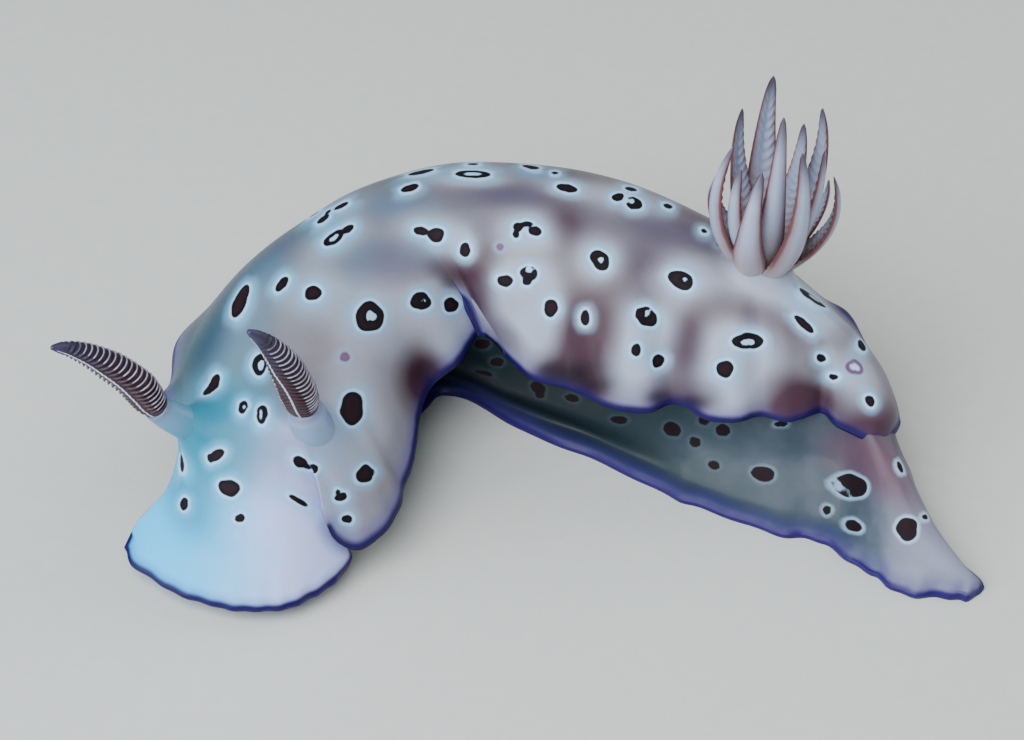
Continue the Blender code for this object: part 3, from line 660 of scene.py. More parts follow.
def far_marks(surface, allowed, spots, seed, spacing=3.0):
    """Marks on the side that the picture doesn't show, scattered as on the side it does."""
    draw = random.Random(seed)
    mark = np.full(len(surface.points), NO_MARK)
    outline = mark.copy()
    taken = [np.array(spot) for spot in spots]
    candidates = np.nonzero(allowed)[0]
    for _ in range(FAR_MARK_TRIES):
        index = candidates[draw.randrange(len(candidates))]
        place = surface.points[index]
        if min((np.linalg.norm(place - other) for other in taken), default=99) < spacing:
            continue
        taken.append(place)
        width = draw.uniform(0.38, 0.75)
        height = width * draw.uniform(0.6, 0.95)
        turn = draw.uniform(0, math.pi)
        ring = draw.random() < 0.3
        off = surface.points - place
        near = np.nonzero(np.linalg.norm(off, axis=1) < FAR_MARK_REACH)[0]
        normal = surface.normals[index]
        near = near[surface.normals[near] @ normal > 0.0]
        first = np.cross(normal, (0.3, 0.2, 0.93))
        first /= np.linalg.norm(first)
        flat = np.stack([off[near] @ first, off[near] @ np.cross(normal, first)], 1)
        angle = np.arctan2(flat[:, 1], flat[:, 0])
        wobble = 0.05 * np.sin(3 * angle + turn) + 0.03 * np.sin(5 * angle + width)
        flat *= PIXELS_PER_MM
        wide, high = width * PIXELS_PER_MM, height * PIXELS_PER_MM
        outer = oval(flat, wide * 2, high * 2, math.degrees(turn)) / PIXELS_PER_MM + wobble
        hole = oval(flat, wide * 0.9, high * 0.8, math.degrees(turn)) / PIXELS_PER_MM
        whole = np.maximum(outer, -hole) if ring else outer
        mark[near] = np.minimum(mark[near], whole)
        outline[near] = np.minimum(outline[near], outer)
    return mark, outline


def facing(surface):
    """How far each point faces the camera: 1 straight at it, -1 straight away."""
    sight = np.array(camera_place) - surface.points
    return np.sum(surface.normals * sight, axis=1) / np.linalg.norm(sight, axis=1)


def far_from(hem, surface):
    """Each point's distance from the nearest point of the hem."""
    tree = KDTree(len(hem))
    for index, point in enumerate(hem):
        tree.insert(point, index)
    tree.balance()
    return np.array([tree.find(point)[2] for point in surface.points])


def keep_values(obj, **values):
    """Stores one number for each point of the mesh under each name."""
    for name, numbers in values.items():
        layer = obj.data.attributes.new(name, "FLOAT", "POINT")
        layer.data.foreach_set("value", np.asarray(numbers, np.float32))


hem_far = far_from(hem_points, surface)
row_of = np.array([vertex[along] for vertex in shape.verts])
across_of = np.array([vertex[aside] for vertex in shape.verts])
outside = np.arange(len(row_of)) < len(places)
mark, outline, spots = marked(surface, MANTLE_MARKS)
faint, faint_outline, faint_spots = marked(surface, MANTLE_FAINT)
unseen = (facing(surface) < -0.05) & outside & (hem_far > 1.1)
far_mark, far_outline = far_marks(surface, unseen, spots + faint_spots, 11)
mark = np.minimum(mark, far_mark)
outline = np.minimum(np.minimum(outline, far_outline), faint_outline + 0.25)
tones = {name: patch_strength(surface, patches) for name, patches in MANTLE_PATCHES.items()}
# The back is dusky all over, partly in its own tone and partly as painted shade, and paler on the domes
# between its folds.
brown = np.maximum(tones["brown"], 0.3 * rising(row_of, 8.4, 10.5))
tones["brown"] = np.clip(1.2 * brown - 0.55 * tones["pale"], 0, 0.95)
blue = np.maximum(tones["blue"], 0.25 * rising(row_of, 2.5, 5.0))
tones["blue"] = np.clip(1.2 * blue - 0.6 * tones["pale"], 0, 1)
for hand, reach in (("left", 2.5), ("right", 5.0)):
    away = np.linalg.norm(surface.points + SOLE_POINT - FEELER_SEATS[hand][0], axis=1)
    tones[f"root_{hand}"] = 1 - rising(away, 0.8, reach)
# The violet line is wide beside the neck, narrow on the flap, soft on the wing behind the
# gills, and it is missing at the hood's right side.
on_neck = rising(row_of, 3.2, 4.0) * rising(-row_of, -8.4, -7.4) * (across_of < 0)
on_wing = np.exp(-(((row_of - 14.6) / 0.9) ** 2)) * (across_of > 0)
hem_far = hem_far * (1 + 0.3 * rising(-row_of, -2.6, -1.2) - 0.3 * on_neck - 0.45 * on_wing)
bare = rising(row_of, 0.5, 0.8) * rising(-row_of, -4.2, -3.6) * (across_of > 0.4)
hem_far = hem_far + 1.5 * bare
# The lapping edge of each pleat carries the violet line too.
for pleat in PLEATS:
    past = row_of - pleat_row(pleat, np.abs(across_of))
    strip = past * 0.9 + 0.9 * rising(across_of + pleat.violet, -0.12, 0.02)
    on_pleat = (past >= 0) & (across_of < -pleat.violet)
    hem_far = np.where(on_pleat, np.minimum(hem_far, strip), hem_far)
mantle = piece(
    "mantle_skin", shape, "mantle",
    "mantle_hood", "mantle_neck", "mantle_back", "mantle_rump",
    "gill_cup", "rhinophore_sheath_left", "rhinophore_sheath_right",
)
keep_values(mantle, mark=mark, outline=outline, faint=faint, hem=hem_far, **tones)

CREAM = tint(131, 125, 124)
CREAM_BLUE = tint(136, 140, 156)
PALE_BLUE = tint(160, 170, 192)
FLAP_CYAN = tint(30, 192, 255)
FLAP_WHITE = tint(186, 200, 250)
HALO = tint(178, 216, 255)
HALO_EDGE = tint(92, 188, 240)
# The brown dusk is partly the skin's own tone and partly painted shade.
BROWN_TONE_AND_SHADE = tint(58, 26, 42)
# Painted shade of the deepest folds.
FOLD_SHADE = tint(10, 2, 12)
# The grey-blue dusk is partly the skin's own tone and partly painted shade.
BLUE_TONE_AND_SHADE = tint(76, 78, 112)
# Painted shade in teal for the shaded side.
SHADE_TEAL = tint(10, 64, 80)
# The cyan is partly the skin's own tint and partly painted blue light.
CYAN_TONE_AND_LIGHT = tint(30, 134, 158)
ROOT_LEFT = tint(118, 150, 182)
# The right feeler's teal root: partly its own tone, partly painted blue light.
ROOT_RIGHT_TONE_AND_LIGHT = tint(24, 132, 162)
SPOT = tint(30, 4, 18)
SPOT_EDGE = tint(4, 0, 4)
FAINT = tint(96, 24, 80)
VIOLET = tint(22, 6, 74)
VIOLET_SOFT = tint(66, 50, 148)

WET_FLESH = {
    "Subsurface_Weight": 0.1,
    "Subsurface_Radius": (1.0, 0.7, 0.6),
    "Subsurface_Scale": 0.00012,
    "Coat_Roughness": 0.15,
    "Specular_IOR_Level": 0.2,
}


def show_wet(flesh, mottle, grain, dark):
    """Sets the flesh's colour and its wet gloss, which is duller on the dark marks."""
    flesh.show(
        Base_Color=flesh.colour,
        Roughness=0.4 + grain * 0.14 + dark * 0.25,
        Coat_Weight=(0.05 + mottle * 0.08) * (1 - dark),
        Normal=flesh.bump(grain, 0.00003, 0.5),
    )


skin = Finish("mantle_flesh", **WET_FLESH)
mottle = skin.noise(420.0)
grain = skin.noise(2600.0, 4.0)
outline_far = skin.attribute("outline") + (grain - 0.5) * 0.1
away = skin.ramp(outline_far, 0.0, 0.8)
flap = skin.fade(skin.attribute("row"), 1.2, 5.0)
rightward = skin.ramp(skin.attribute("across") + (mottle - 0.5) * 0.5, -0.55, 0.6)
brown = skin.attribute("brown")
cyan_tone_and_light = skin.attribute("cyan_tone_and_light")
painted_shade_teal = skin.attribute("painted_shade_teal")
skin.colour = skin.mix(skin.ramp(mottle, 0.3, 0.75) * 0.6, CREAM, CREAM_BLUE)
skin.layer(skin.attribute("pale") * 0.95, PALE_BLUE)
skin.layer(flap, skin.mix(rightward, FLAP_WHITE, FLAP_CYAN))
# The grey-blue dusk: partly the skin's own tone, partly painted shade.
skin.layer(skin.attribute("blue") * away * 0.85, BLUE_TONE_AND_SHADE)
# Cyan: partly the skin's own tint, partly painted blue light.
skin.layer(cyan_tone_and_light * 0.4, CYAN_TONE_AND_LIGHT)
# Painted shade in teal on the shaded side.
skin.layer(painted_shade_teal * 0.9, SHADE_TEAL)
skin.layer(skin.attribute("root_left") * (0.6 + mottle * 0.4), ROOT_LEFT)
# The right feeler's root tone, partly painted blue light.
skin.layer(skin.attribute("root_right") * (0.55 + mottle * 0.4), ROOT_RIGHT_TONE_AND_LIGHT)
# The brown dusk: partly the skin's own tone, partly painted shade in the folds.
skin.layer(brown * skin.ramp(outline_far, 0.0, 0.6), BROWN_TONE_AND_SHADE)
# Painted shade in the deepest folds.
skin.layer(skin.attribute("deep") * away * 0.9, FOLD_SHADE)
# The cyan rim round each mark is weaker under the brown dusk's painted shade and stronger under the
# cyan's painted blue light.
wide_glow = skin.fade(outline_far, 0.05, 0.7)
skin.layer(wide_glow * (0.35 - brown * 0.17 + cyan_tone_and_light * 0.25), HALO_EDGE)
# The pale halos are dimmed on the shaded side: painted shade.
glow = skin.fade(outline_far, 0.02, 0.26) * (1 - painted_shade_teal * 0.4)
skin.layer(glow * (0.5 + mottle * 0.6), HALO)
hem = skin.attribute("hem") + (mottle - 0.5) * 0.25
# The soft violet of the hem is held back where the brown dusk is: painted shade on the rim.
skin.layer(skin.fade(hem, 0.2, 1.2) * (1 - brown * 0.85) * 0.5, VIOLET_SOFT)
skin.layer(skin.fade(hem, 0.18, 0.55), VIOLET)
faint_edge = skin.attribute("faint") + (grain - 0.5) * 0.1
skin.layer(skin.fade(faint_edge, -0.08, 0.06) * 0.9, FAINT)
mark_edge = skin.attribute("mark") + (grain - 0.5) * 0.05
dark = skin.fade(mark_edge, -0.04, 0.04)
inside = skin.fade(mark_edge, -0.3, -0.1)
skin.layer(dark, skin.mix(inside * (0.5 + mottle), SPOT_EDGE, SPOT))
show_wet(skin, mottle, grain, dark)
skin.wear(mantle)

# The foot and flank: the muscular body under the mantle, thicker and greyer, flat below with
# a thin violet border, and drawn out behind into the long pointed tail.

# Each row of the trunk: the left and the right edge of the foot.
FOOT_ROWS = [
    ((-10.6, -9.2, 0), (-17.6, -7.6, 0)), ((-9.4, -7.9, 0), (-18.2, -6.0, 0)),
    ((-8.2, -5.8, 0), (-18.2, -3.4, 0)), ((-7.2, -2.8, 0), (-17.6, 0.6, 0)),
    ((-6.2, 1.0, 0), (-15.8, 5.4, 0)), ((-4.9, 4.3, 0), (-12.3, 9.3, 0)),
    ((-2.9, 4.4, 0), (-8.8, 12.4, 0)), ((0.4, 1.7, 0), (-3.6, 14.0, 0)),
    ((4.6, -1.1, 0), (3.4, 13.8, 0)), ((8.6, -3.8, 0), (9.0, 11.6, 0)),
    ((11.0, -5.5, 0), (13.0, 8.4, 0)), ((14.6, -7.3, 0), (17.4, 4.4, 0)),
    ((17.0, -8.0, 0), (20.4, 0.8, 0)), ((18.5, -9.1, 0), (22.2, -2.0, 0)),
]
# Each row of the tail: the foot's left edge, the keel and the foot's right edge.
TAIL_ROWS = [
    ((20.0, -10.6, 0), (21.4, -5.4, 5.3), (23.4, -4.4, 0)),
    ((21.0, -11.8, 0), (22.2, -7.5, 4.35), (23.8, -6.4, 0)),
    ((22.6, -12.6, 0), (23.35, -9.8, 3.0), (24.6, -8.6, 0)),
    ((24.4, -12.9, 0), (24.9, -11.6, 1.75), (25.6, -10.5, 0)),
    ((25.6, -12.8, 0), (25.9, -12.2, 0.95), (26.3, -11.6, 0)),
    ((26.2, -12.45, 0), (26.35, -12.2, 0.35), (26.5, -12.0, 0)),
]
FOOT_EDGE = 0.5
FOOT_BORDER = 1.5
BODY_ALONG = 330
BODY_ROUND = 110


def trunk_section(left, top, right, foot_left, foot_right):
    """The body's outline at one row, from the left edge of the foot over to the right."""
    across = (foot_right - foot_left) / np.linalg.norm(foot_right - foot_left)
    sides = []
    for edge, foot, way in ((left, foot_left, across), (right, foot_right, -across)):
        inward = top - edge
        inward[2] = 0
        root = edge + inward * 0.27 + (0, 0, 0.1)
        shoulder = edge + inward * 0.42
        shoulder[2] = top[2] - (top[2] - edge[2]) * 0.58 - 0.4
        border = foot + way * FOOT_BORDER + (0, 0, 1.0)
        wall = border * 0.2 + root * 0.8
        wall[2] = root[2] * 0.5
        brim = [foot + (0, 0, FOOT_EDGE / 2), foot + way * 0.35 + (0, 0, FOOT_EDGE)]
        sides.append(brim + [border, wall, root, shoulder])
    return sides[0] + [top - (0, 0, 2.2)] + sides[1][::-1]


def tail_section(foot_left, keel, foot_right):
    """The tail's outline at one row, from the left edge of the foot over to the right."""
    sides = []
    edge = min(FOOT_EDGE, keel[2] * 0.6)
    for foot in (foot_left, foot_right):
        way = keel - foot
        way[2] = 0
        part = [foot + (0, 0, edge / 2), foot + way * 0.07 + (0, 0, edge)]
        for share, height in ((0.25, 0.38), (0.45, 0.64), (0.65, 0.84), (0.84, 0.965)):
            point = foot + way * share
            point[2] = max(edge, keel[2] * height)
            part.append(point)
        sides.append(part)
    return sides[0] + [keel] + sides[1][::-1]


sections = [
    trunk_section(*np.array(mantle_row), *np.array(foot_row))
    for mantle_row, foot_row in zip(MANTLE_ROWS[3:], FOOT_ROWS)
]
sections = np.array(sections + [tail_section(*np.array(row)) for row in TAIL_ROWS])
# Under the hood the flank draws in towards the head.
front_middle = (sections[0, 0] + sections[0, -1]) / 2
sections[0, :, :2] = front_middle[:2] + (sections[0, :, :2] - front_middle[:2]) * 0.8
sections[0, 1:-1, 2] *= 0.85

shape, grid = flat_grid(BODY_ALONG, BODY_ROUND)
body_rows = (grid[:, 0] + 1) / 2 * (len(sections) - 1)
body_round = (grid[:, 1] + 1) / 2 * (sections.shape[1] - 1)
guides = [smooth_curve(sections[:, index], body_rows) for index in range(sections.shape[1])]
guides = np.stack(guides, 1)
body_points = np.empty_like(guides[:, 0])
for value in np.unique(body_rows):
    chosen = np.nonzero(body_rows == value)[0]
    body_points[chosen] = smooth_curve(guides[chosen[0]], body_round[chosen])
body_points[:, 2] = np.maximum(body_points[:, 2], 0.02)
# The foot's border waves gently.
low = 1 - rising(body_points[:, 2], 0.3, 1.6)
sway = 0.14 * np.sin(body_rows * 2.9) + 0.08 * np.sin(body_rows * 6.7 + 1)
sway *= np.where(grid[:, 1] < 0, 1.0, rising(-body_rows, -14.0, -12.0))
middle = smooth_curve(sections[:, 6], body_rows)
outward = body_points - middle
outward[:, 2] = 0
outward /= np.maximum(np.linalg.norm(outward, axis=1, keepdims=True), 1e-6)
body_points += outward * (low * sway)[:, None]
along = shape.verts.layers.float.new("row")
for vertex, point, place in zip(shape.verts, body_points - SOLE_POINT, body_rows):
    vertex.co = point
    vertex[along] = place
hem_points = [
    vertex.co.copy() for vertex in shape.verts
    if (vertex.is_boundary and abs(grid[vertex.index][1]) > 0.999) or grid[vertex.index][0] > 0.999
]
# The sole: the skin's two lower edges turn under and meet flat on the floor.
edges = [edge for edge in shape.edges if edge.is_boundary]
for inward in (0.0, 0.12, 1.0):
    fresh, edges = extruded(shape, edges)
    near = np.array([vertex[along] for vertex in fresh])
    ends = smooth_curve(sections[:, 0], near) + smooth_curve(sections[:, -1], near)
    for vertex, end in zip(fresh, ends / 2 - SOLE_POINT):
        flat = Vector((vertex.co.x, vertex.co.y, 0))
        vertex.co = flat.lerp(Vector((end[0], end[1], 0)), inward)
surface = closed(shape, fresh)

# Its marks, its grey-blue dusk, which is painted shadow under the mantle, and the brown dusk of the
# tail, written as for the mantle.
BODY_MARKS = [
    (482, 344, 17, 10, 0), (497, 362, 15, 9, 0), (484, 373, 20, 4, -15), (538, 388, 17, 11, -30),
    (540, 395, 10, 8, 0), (572, 398, 15, 8, -15), (619, 420, 18, 8, -5), (672, 429, 19, 14, -25),
    (695, 442, 13, 10, -25), (704, 421, 13, 8, -15), (723, 430, 15, 12, -20), (781, 424, 14, 4, 0),
    (714, 465, 13, 9, -20), (763, 474, 24, 15, -10), (853, 486, 26, 23, -15, -7, 1, 15, 4),
    (827, 510, 9, 9, 0), (854, 526, 15, 11, -20), (907, 529, 20, 23, 0), (900, 467, 12, 5, -70),
    (925, 517, 7, 5, 0),
]
# The painted shadow that the mantle casts on the near flank.
BODY_SHADE = [
    (540, 415, 260, 110, -30, 0.9), (500, 380, 120, 90, -30, 0.8), (650, 470, 200, 40, -25, 0.35),
]
TAIL_DUSK = [
    (884, 466, 96, 44, -54, 0.9), (850, 455, 60, 40, -20, 0.5),
]
mark, outline, spots = marked(surface, BODY_MARKS)
row_of = np.array([vertex[along] for vertex in shape.verts])
unseen = (facing(surface) < 0) & (surface.points[:, 2] > 1.4) & (row_of > 0.5) & (row_of < 17)
far_mark, far_outline = far_marks(surface, unseen, spots, 5, 3.4)
body = piece("foot_skin", shape, "foot", "foot_neck", "foot_back", "foot_rump", "foot_tail")
keep_values(
    body,
    mark=np.minimum(mark, far_mark),
    outline=np.minimum(outline, far_outline),
    hem=far_from(hem_points, surface),
    blue=patch_strength(surface, BODY_SHADE),
    brown=patch_strength(surface, TAIL_DUSK),
)
flesh = Finish("foot_flesh", **WET_FLESH)
mottle = flesh.noise(380.0)
grain = flesh.noise(2400.0, 4.0)
row = flesh.attribute("row") + (mottle - 0.5) * 1.6
outline_far = flesh.attribute("outline") + (grain - 0.5) * 0.1
flesh.colour = flesh.mix(flesh.ramp(mottle, 0.3, 0.7), tint(52, 68, 78), tint(68, 78, 90))
# Towards the front, near the bend, the foot is darkened: painted shade under the mantle.
flesh.layer(flesh.fade(row, 7.0, 12.5), tint(34, 54, 62))
flesh.layer(flesh.ramp(row, 13.2, 16.8), tint(130, 134, 156))
# Painted shadow of the mantle on the near side of the flank.
flesh.layer(flesh.attribute("blue") * 0.8, tint(6, 20, 24))
flesh.layer(flesh.attribute("brown") * 0.95, tint(92, 64, 80))
hem = flesh.attribute("hem") + (mottle - 0.5) * 0.4
flesh.layer(flesh.fade(hem, 0.2, 1.4) * 0.5, tint(60, 54, 124))
flesh.layer(flesh.fade(hem, 0.1, 0.45), tint(34, 18, 92))
# The halos fade out towards the front, where the foot lies in painted shade.
halo = flesh.fade(outline_far, 0.02, 0.28) * (0.03 + 0.65 * flesh.ramp(row, 10.0, 14.5))
flesh.layer(halo, tint(170, 210, 240))
dark = flesh.fade(flesh.attribute("mark") + (grain - 0.5) * 0.05, -0.04, 0.04)
flesh.layer(dark, flesh.mix(mottle, SPOT_EDGE, SPOT))
show_wet(flesh, mottle, grain, dark)
flesh.wear(body)

# The head under the hood: a soft pale snout with a mouth slit between two lips, an oral
# tentacle at each side of it, and below it the front lip of the foot, split by a groove.

# Each ring of the snout: its middle, and how far it reaches sideways and up.
HEAD_ROWS = [
    ((-13.9, -7.9, 4.5), 3.0, 2.9), ((-13.95, -9.1, 4.3), 3.1, 2.6),
    ((-14.15, -10.3, 3.7), 2.95, 2.05), ((-14.35, -11.2, 3.0), 2.5, 1.45),
    ((-14.5, -11.9, 2.5), 1.75, 0.95), ((-14.6, -12.4, 2.2), 1.05, 0.55),
]
# Each oral tentacle: its root and its tip.
ORAL_TENTACLES = {
    "left": ((-12.4, -11.6, 2.05), (-11.2, -12.3, 1.5)),
    "right": ((-16.6, -11.5, 2.05), (-17.9, -12.0, 1.5)),
}
INSIDE_SNOUT = np.array((-14.4, -11.3, 2.9))
# Each row of the lip, from front to rear: its left and its right edge.
LIP_ROWS = [
    ((-13.0, -11.95), (-15.6, -11.95)), ((-11.6, -11.3), (-16.8, -11.1)),
    ((-10.6, -10.1), (-17.6, -9.1)), ((-10.4, -9.0), (-17.5, -7.4)),
]
# Round the lip from the left: the share across, and the share of its height.
LIP_OUTLINE = [
    (0.0, 0.03), (-0.02, 0.2), (-0.01, 0.4), (0.04, 0.5), (-0.01, 0.6), (-0.01, 0.8), (0.05, 0.95),
    (0.16, 1.0), (0.35, 1.02), (0.5, 1.03), (0.65, 1.02), (0.84, 1.0), (0.95, 0.95), (1.01, 0.8),
    (1.01, 0.6), (0.96, 0.5), (1.01, 0.4), (1.02, 0.2), (1.0, 0.03), (0.9, 0.0), (0.5, 0.0), (0.1, 0.0),
]
LIP_HEIGHT = 1.15
HEAD_SIDE = np.array((0.97, -0.22, 0))


def turns_round(count):
    return np.linspace(0, 2 * math.pi, count, endpoint=False)


def rolled(rings, **values):
    """A closed tube: a flat grid rolled up through rings of points, its ends drawn together.

    Each value is a number for the whole tube, for each ring or for each point of the rings,
    and is kept on the mesh under its name.
    """
    count, sides = rings.shape[:2]
    shape, grid = flat_grid(count - 1, sides)
    numbers = {name: np.broadcast_to(value, (count, sides)) for name, value in values.items()}
    layers = {name: shape.verts.layers.float.new(name) for name in values}
    for vertex, place in zip(shape.verts, (grid + 1) / 2):
        along = round(place[0] * (count - 1))
        around = round(place[1] * sides) % sides
        vertex.co = rings[along, around] - SOLE_POINT
        for name, layer in layers.items():
            vertex[layer] = numbers[name][along, around]
    bmesh.ops.remove_doubles(shape, verts=shape.verts, dist=0.0001)
    bmesh.ops.holes_fill(shape, edges=[edge for edge in shape.edges if edge.is_boundary], sides=0)
    bmesh.ops.recalc_face_normals(shape, faces=shape.faces)
    return shape


def frames(path, way):
    """The direction along a path, and two directions across it, the first nearest to way."""
    along = np.gradient(path, axis=0)
    along /= np.linalg.norm(along, axis=1, keepdims=True)
    way = np.broadcast_to(np.asarray(way, float), path.shape)
    side = way - along * np.sum(along * way, axis=1, keepdims=True)
    side /= np.linalg.norm(side, axis=1, keepdims=True)
    return along, side, np.cross(along, side)


def tube(path, way, radii, turns):
    """Rings of points round a path, with one radius for each ring or for each point."""
    along, side, other = frames(path, way)
    around = side[:, None] * np.cos(turns)[:, None] + other[:, None] * np.sin(turns)[:, None]
    return path[:, None] + around * np.reshape(radii, (len(path), -1, 1))


head_guides = np.array([[*middle, wide, high] for middle, wide, high in HEAD_ROWS])
places = np.linspace(0, len(HEAD_ROWS) - 1, 40)
centres = smooth_curve(head_guides[:, :3], places)
sizes = smooth_curve(head_guides[:, [3, 4, 4]], places)
turns = turns_round(56)
rings = centres[:, None] + HEAD_SIDE * (sizes[:, 0, None] * np.cos(turns))[..., None]
rings = rings + np.array((0, 0, 1.0)) * (sizes[:, 1, None] * np.sin(turns))[..., None]
# The front end is rounded off and drawn in to the mouth slit.
snout = []
for share in (0.93, 0.72, 0.4, 0.22, 0.12, 0.1):
    ring = centres[-1] + (rings[-1] - centres[-1]) * share
    slit = max(0.0, 0.5 - share)
    ring[:, 2] = centres[-1][2] + (ring[:, 2] - centres[-1][2]) * (1 - slit * 1.4)
    ring[:, 1] -= 0.32 * math.cos(share * math.pi / 2) if share > 0.3 else 0.25 - (0.3 - share) * 4.5
    snout.append(ring)
rings = np.concatenate([rings, np.array(snout)])
fore = np.linspace(0, 1.15, len(rings))[:, None]
pieces_of_head = [piece("head_skin", rolled(rings, fore=fore), "head", "head")]
for hand, ends in ORAL_TENTACLES.items():
    root, tip = np.array(ends)
    shares = np.linspace(0, 1, 26)
    guides = np.array((root + (INSIDE_SNOUT - root) * 0.6, root, tip))
    path = np.stack([np.interp(shares, (0, 0.4, 1), guides[:, i]) for i in range(3)], 1)
    path[:, 2] += 0.12 * np.sin(np.pi * shares)
    radii = 0.4 + 0.55 * (1 - shares) ** 2
    radii *= np.sqrt(np.clip(1 - np.clip((shares - 0.8) / 0.2, 0, 1) ** 2, 0.02, 1))
    tentacle = rolled(tube(path, (0, 0, 1.0), radii, turns_round(24)), fore=1.0)
    name = f"oral_tentacle_skin_{hand}"
    pieces_of_head.append(piece(name, tentacle, "head", f"oral_tentacle_{hand}"))
lip_guides = np.array([(*left, 0, *right, 0) for left, right in LIP_ROWS], float)
places = np.linspace(0, len(LIP_ROWS) - 1, 44)
lefts = smooth_curve(lip_guides[:, :3], places)
rights = smooth_curve(lip_guides[:, 3:], places)
rings = [lefts + (rights - lefts) * share + (0, 0, LIP_HEIGHT * high) for share, high in LIP_OUTLINE]
rings = np.stack(rings, 1)
# The lip wears the foot's flesh, with the violet border along its front and its two ends.
to_side = np.array([min(share + 0.02, 1.02 - share) for share, high in LIP_OUTLINE])
to_side = to_side * np.linalg.norm(rights - lefts, axis=1)[:, None]
hem_far = np.minimum(np.arange(len(places))[:, None] * 0.09, to_side)
hem_far = hem_far + np.array([high for share, high in LIP_OUTLINE]) * 0.4
lip = rolled(rings, hem=hem_far, mark=NO_MARK, outline=NO_MARK, row=0.0, blue=0.0, brown=0.0)
flesh.wear(piece("foot_lip_skin", lip, "foot", "foot_front_lip"))
snout_flesh = Finish(
    "head_flesh",
    Subsurface_Weight=0.15,
    Subsurface_Radius=(1.0, 0.7, 0.6),
    Subsurface_Scale=0.0009,
    Coat_Roughness=0.15,
)
mottle = snout_flesh.noise(700.0)
grain = snout_flesh.noise(2600.0)
fore = snout_flesh.attribute("fore") + (mottle - 0.5) * 0.3
snout_flesh.colour = snout_flesh.mix(mottle, tint(150, 168, 180), tint(166, 168, 178))
# The snout darkens towards its back, deep under the hood: painted shade.
snout_flesh.layer(snout_flesh.fade(fore, 0.1, 0.75), tint(24, 42, 50))
snout_flesh.show(
    Base_Color=snout_flesh.colour,
    Roughness=0.36 + grain * 0.14,
    Coat_Weight=0.1 + mottle * 0.1,
    Normal=snout_flesh.bump(grain, 0.00003, 0.5),
)
for obj in pieces_of_head:
    snout_flesh.wear(obj)

# The two feelers: a clear blue-grey stalk that spreads at its root into the head, and a dark
# club of about twenty-five thin plates that slope away from a white line down its face. The
# plates' edges are white. It is one growth of flesh, rooted in the low cone of the mantle.

STALK_END = 0.27
# Radii in millimetres, each after the share of the length where it is reached.
STALK_RADII = {
    "left": [(0.0, 1.0), (0.3, 1.16), (0.6, 1.18), (0.85, 1.08), (1.0, 0.82)],
    "right": [(0.0, 0.8), (0.3, 0.96), (0.5, 0.94), (0.75, 0.86), (1.0, 0.78)],
}
CLUB_RADII = [
    (0.0, 0.6), (0.04, 0.8), (0.12, 0.93), (0.28, 0.98), (0.55, 0.86), (0.8, 0.55), (0.94, 0.3),
    (1.0, 0.12),
]
PLATES = 25
RINGS_A_PLATE = 8
PLATE_DEPTH = 0.3
PLATE_SLOPE = 0.85
# Which way the white line faces at the club's root and at its tip.
MIDLINE_WAYS = {
    "left": ((-0.226, -0.839, 0.496), (-0.6, -0.79, 0.1)),
    "right": ((-0.38, -0.9, 0.24), (-0.34, -0.9, 0.28)),
}
CLUB_FULL = {"left": 1.1, "right": 1.04}

stalk_flesh = Finish(
    "feeler_stalk_flesh",
    Subsurface_Weight=0.2,
    Subsurface_Radius=(0.8, 1.0, 1.1),
    Subsurface_Scale=0.0004,
    Coat_Roughness=0.15,
    Specular_IOR_Level=0.2,
)
mottle = stalk_flesh.noise(900.0)
grain = stalk_flesh.noise(3000.0)
up = stalk_flesh.attribute("up")
# The right stalk's teal is partly painted blue light.
stalk_flesh.colour = stalk_flesh.mix(stalk_flesh.attribute("right"), ROOT_LEFT, ROOT_RIGHT_TONE_AND_LIGHT)
stalk_flesh.layer(mottle * 0.25, tint(110, 156, 184))
stalk_flesh.layer(stalk_flesh.ramp(up, 0.3, 0.9) * 0.5, tint(132, 146, 182))
stalk_flesh.layer(stalk_flesh.ramp(up, 0.85, 1.0) * 0.4, tint(110, 84, 110))
stalk_flesh.show(
    Base_Color=stalk_flesh.colour,
    Roughness=0.3 + grain * 0.1,
    Coat_Weight=0.2 + mottle * 0.1,
    Normal=stalk_flesh.bump(grain, 0.00002, 0.4),
)

club_flesh = Finish(
    "feeler_club_flesh", Subsurface_Weight=0.05, Subsurface_Scale=0.0004, Coat_Roughness=0.2
)
mottle = club_flesh.noise(1500.0)
plate_edge = club_flesh.attribute("plate_edge") + (mottle - 0.5) * 0.3
up = club_flesh.attribute("up")
club_flesh.colour = club_flesh.mix(mottle, tint(40, 18, 28), tint(66, 36, 48))
club_flesh.layer(club_flesh.ramp(up, 0.3, 0.9) * 0.8, tint(30, 28, 58))
club_flesh.layer(club_flesh.ramp(up, 0.86, 1.0) * 0.7, tint(50, 46, 84))
white = club_flesh.ramp(plate_edge, 0.68, 1.05) * club_flesh.fade(up, 0.78, 0.95)
club_flesh.layer(white * (0.5 + mottle * 0.7), tint(188, 194, 218))
club_flesh.layer(club_flesh.ramp(club_flesh.attribute("midline"), 0.4, 0.8) * 0.95, tint(214, 220, 240))
club_flesh.show(
    Base_Color=club_flesh.colour,
    Roughness=0.45 + mottle * 0.2,
    Coat_Weight=0.05 + mottle * 0.1,
    Normal=club_flesh.bump(mottle, 0.00002, 0.5),
)


def table_at(table, shares):
    """The numbers of a table of pairs, at these shares of the length."""
    return np.interp(shares, *zip(*table))


def feeler_path(guides, shares):
    """Points down the middle of a feeler, from 0 at its seat to 1 at its tip."""
    seat, tip, bow, knee = np.array(guides)
    bent = 6.75 * shares**2 * (1 - shares)
    low = np.exp(-(((shares - 0.25) / 0.16) ** 2)) - 0.087
    return seat + (tip - seat) * shares[:, None] + bow * bent[:, None] + knee * low[:, None]


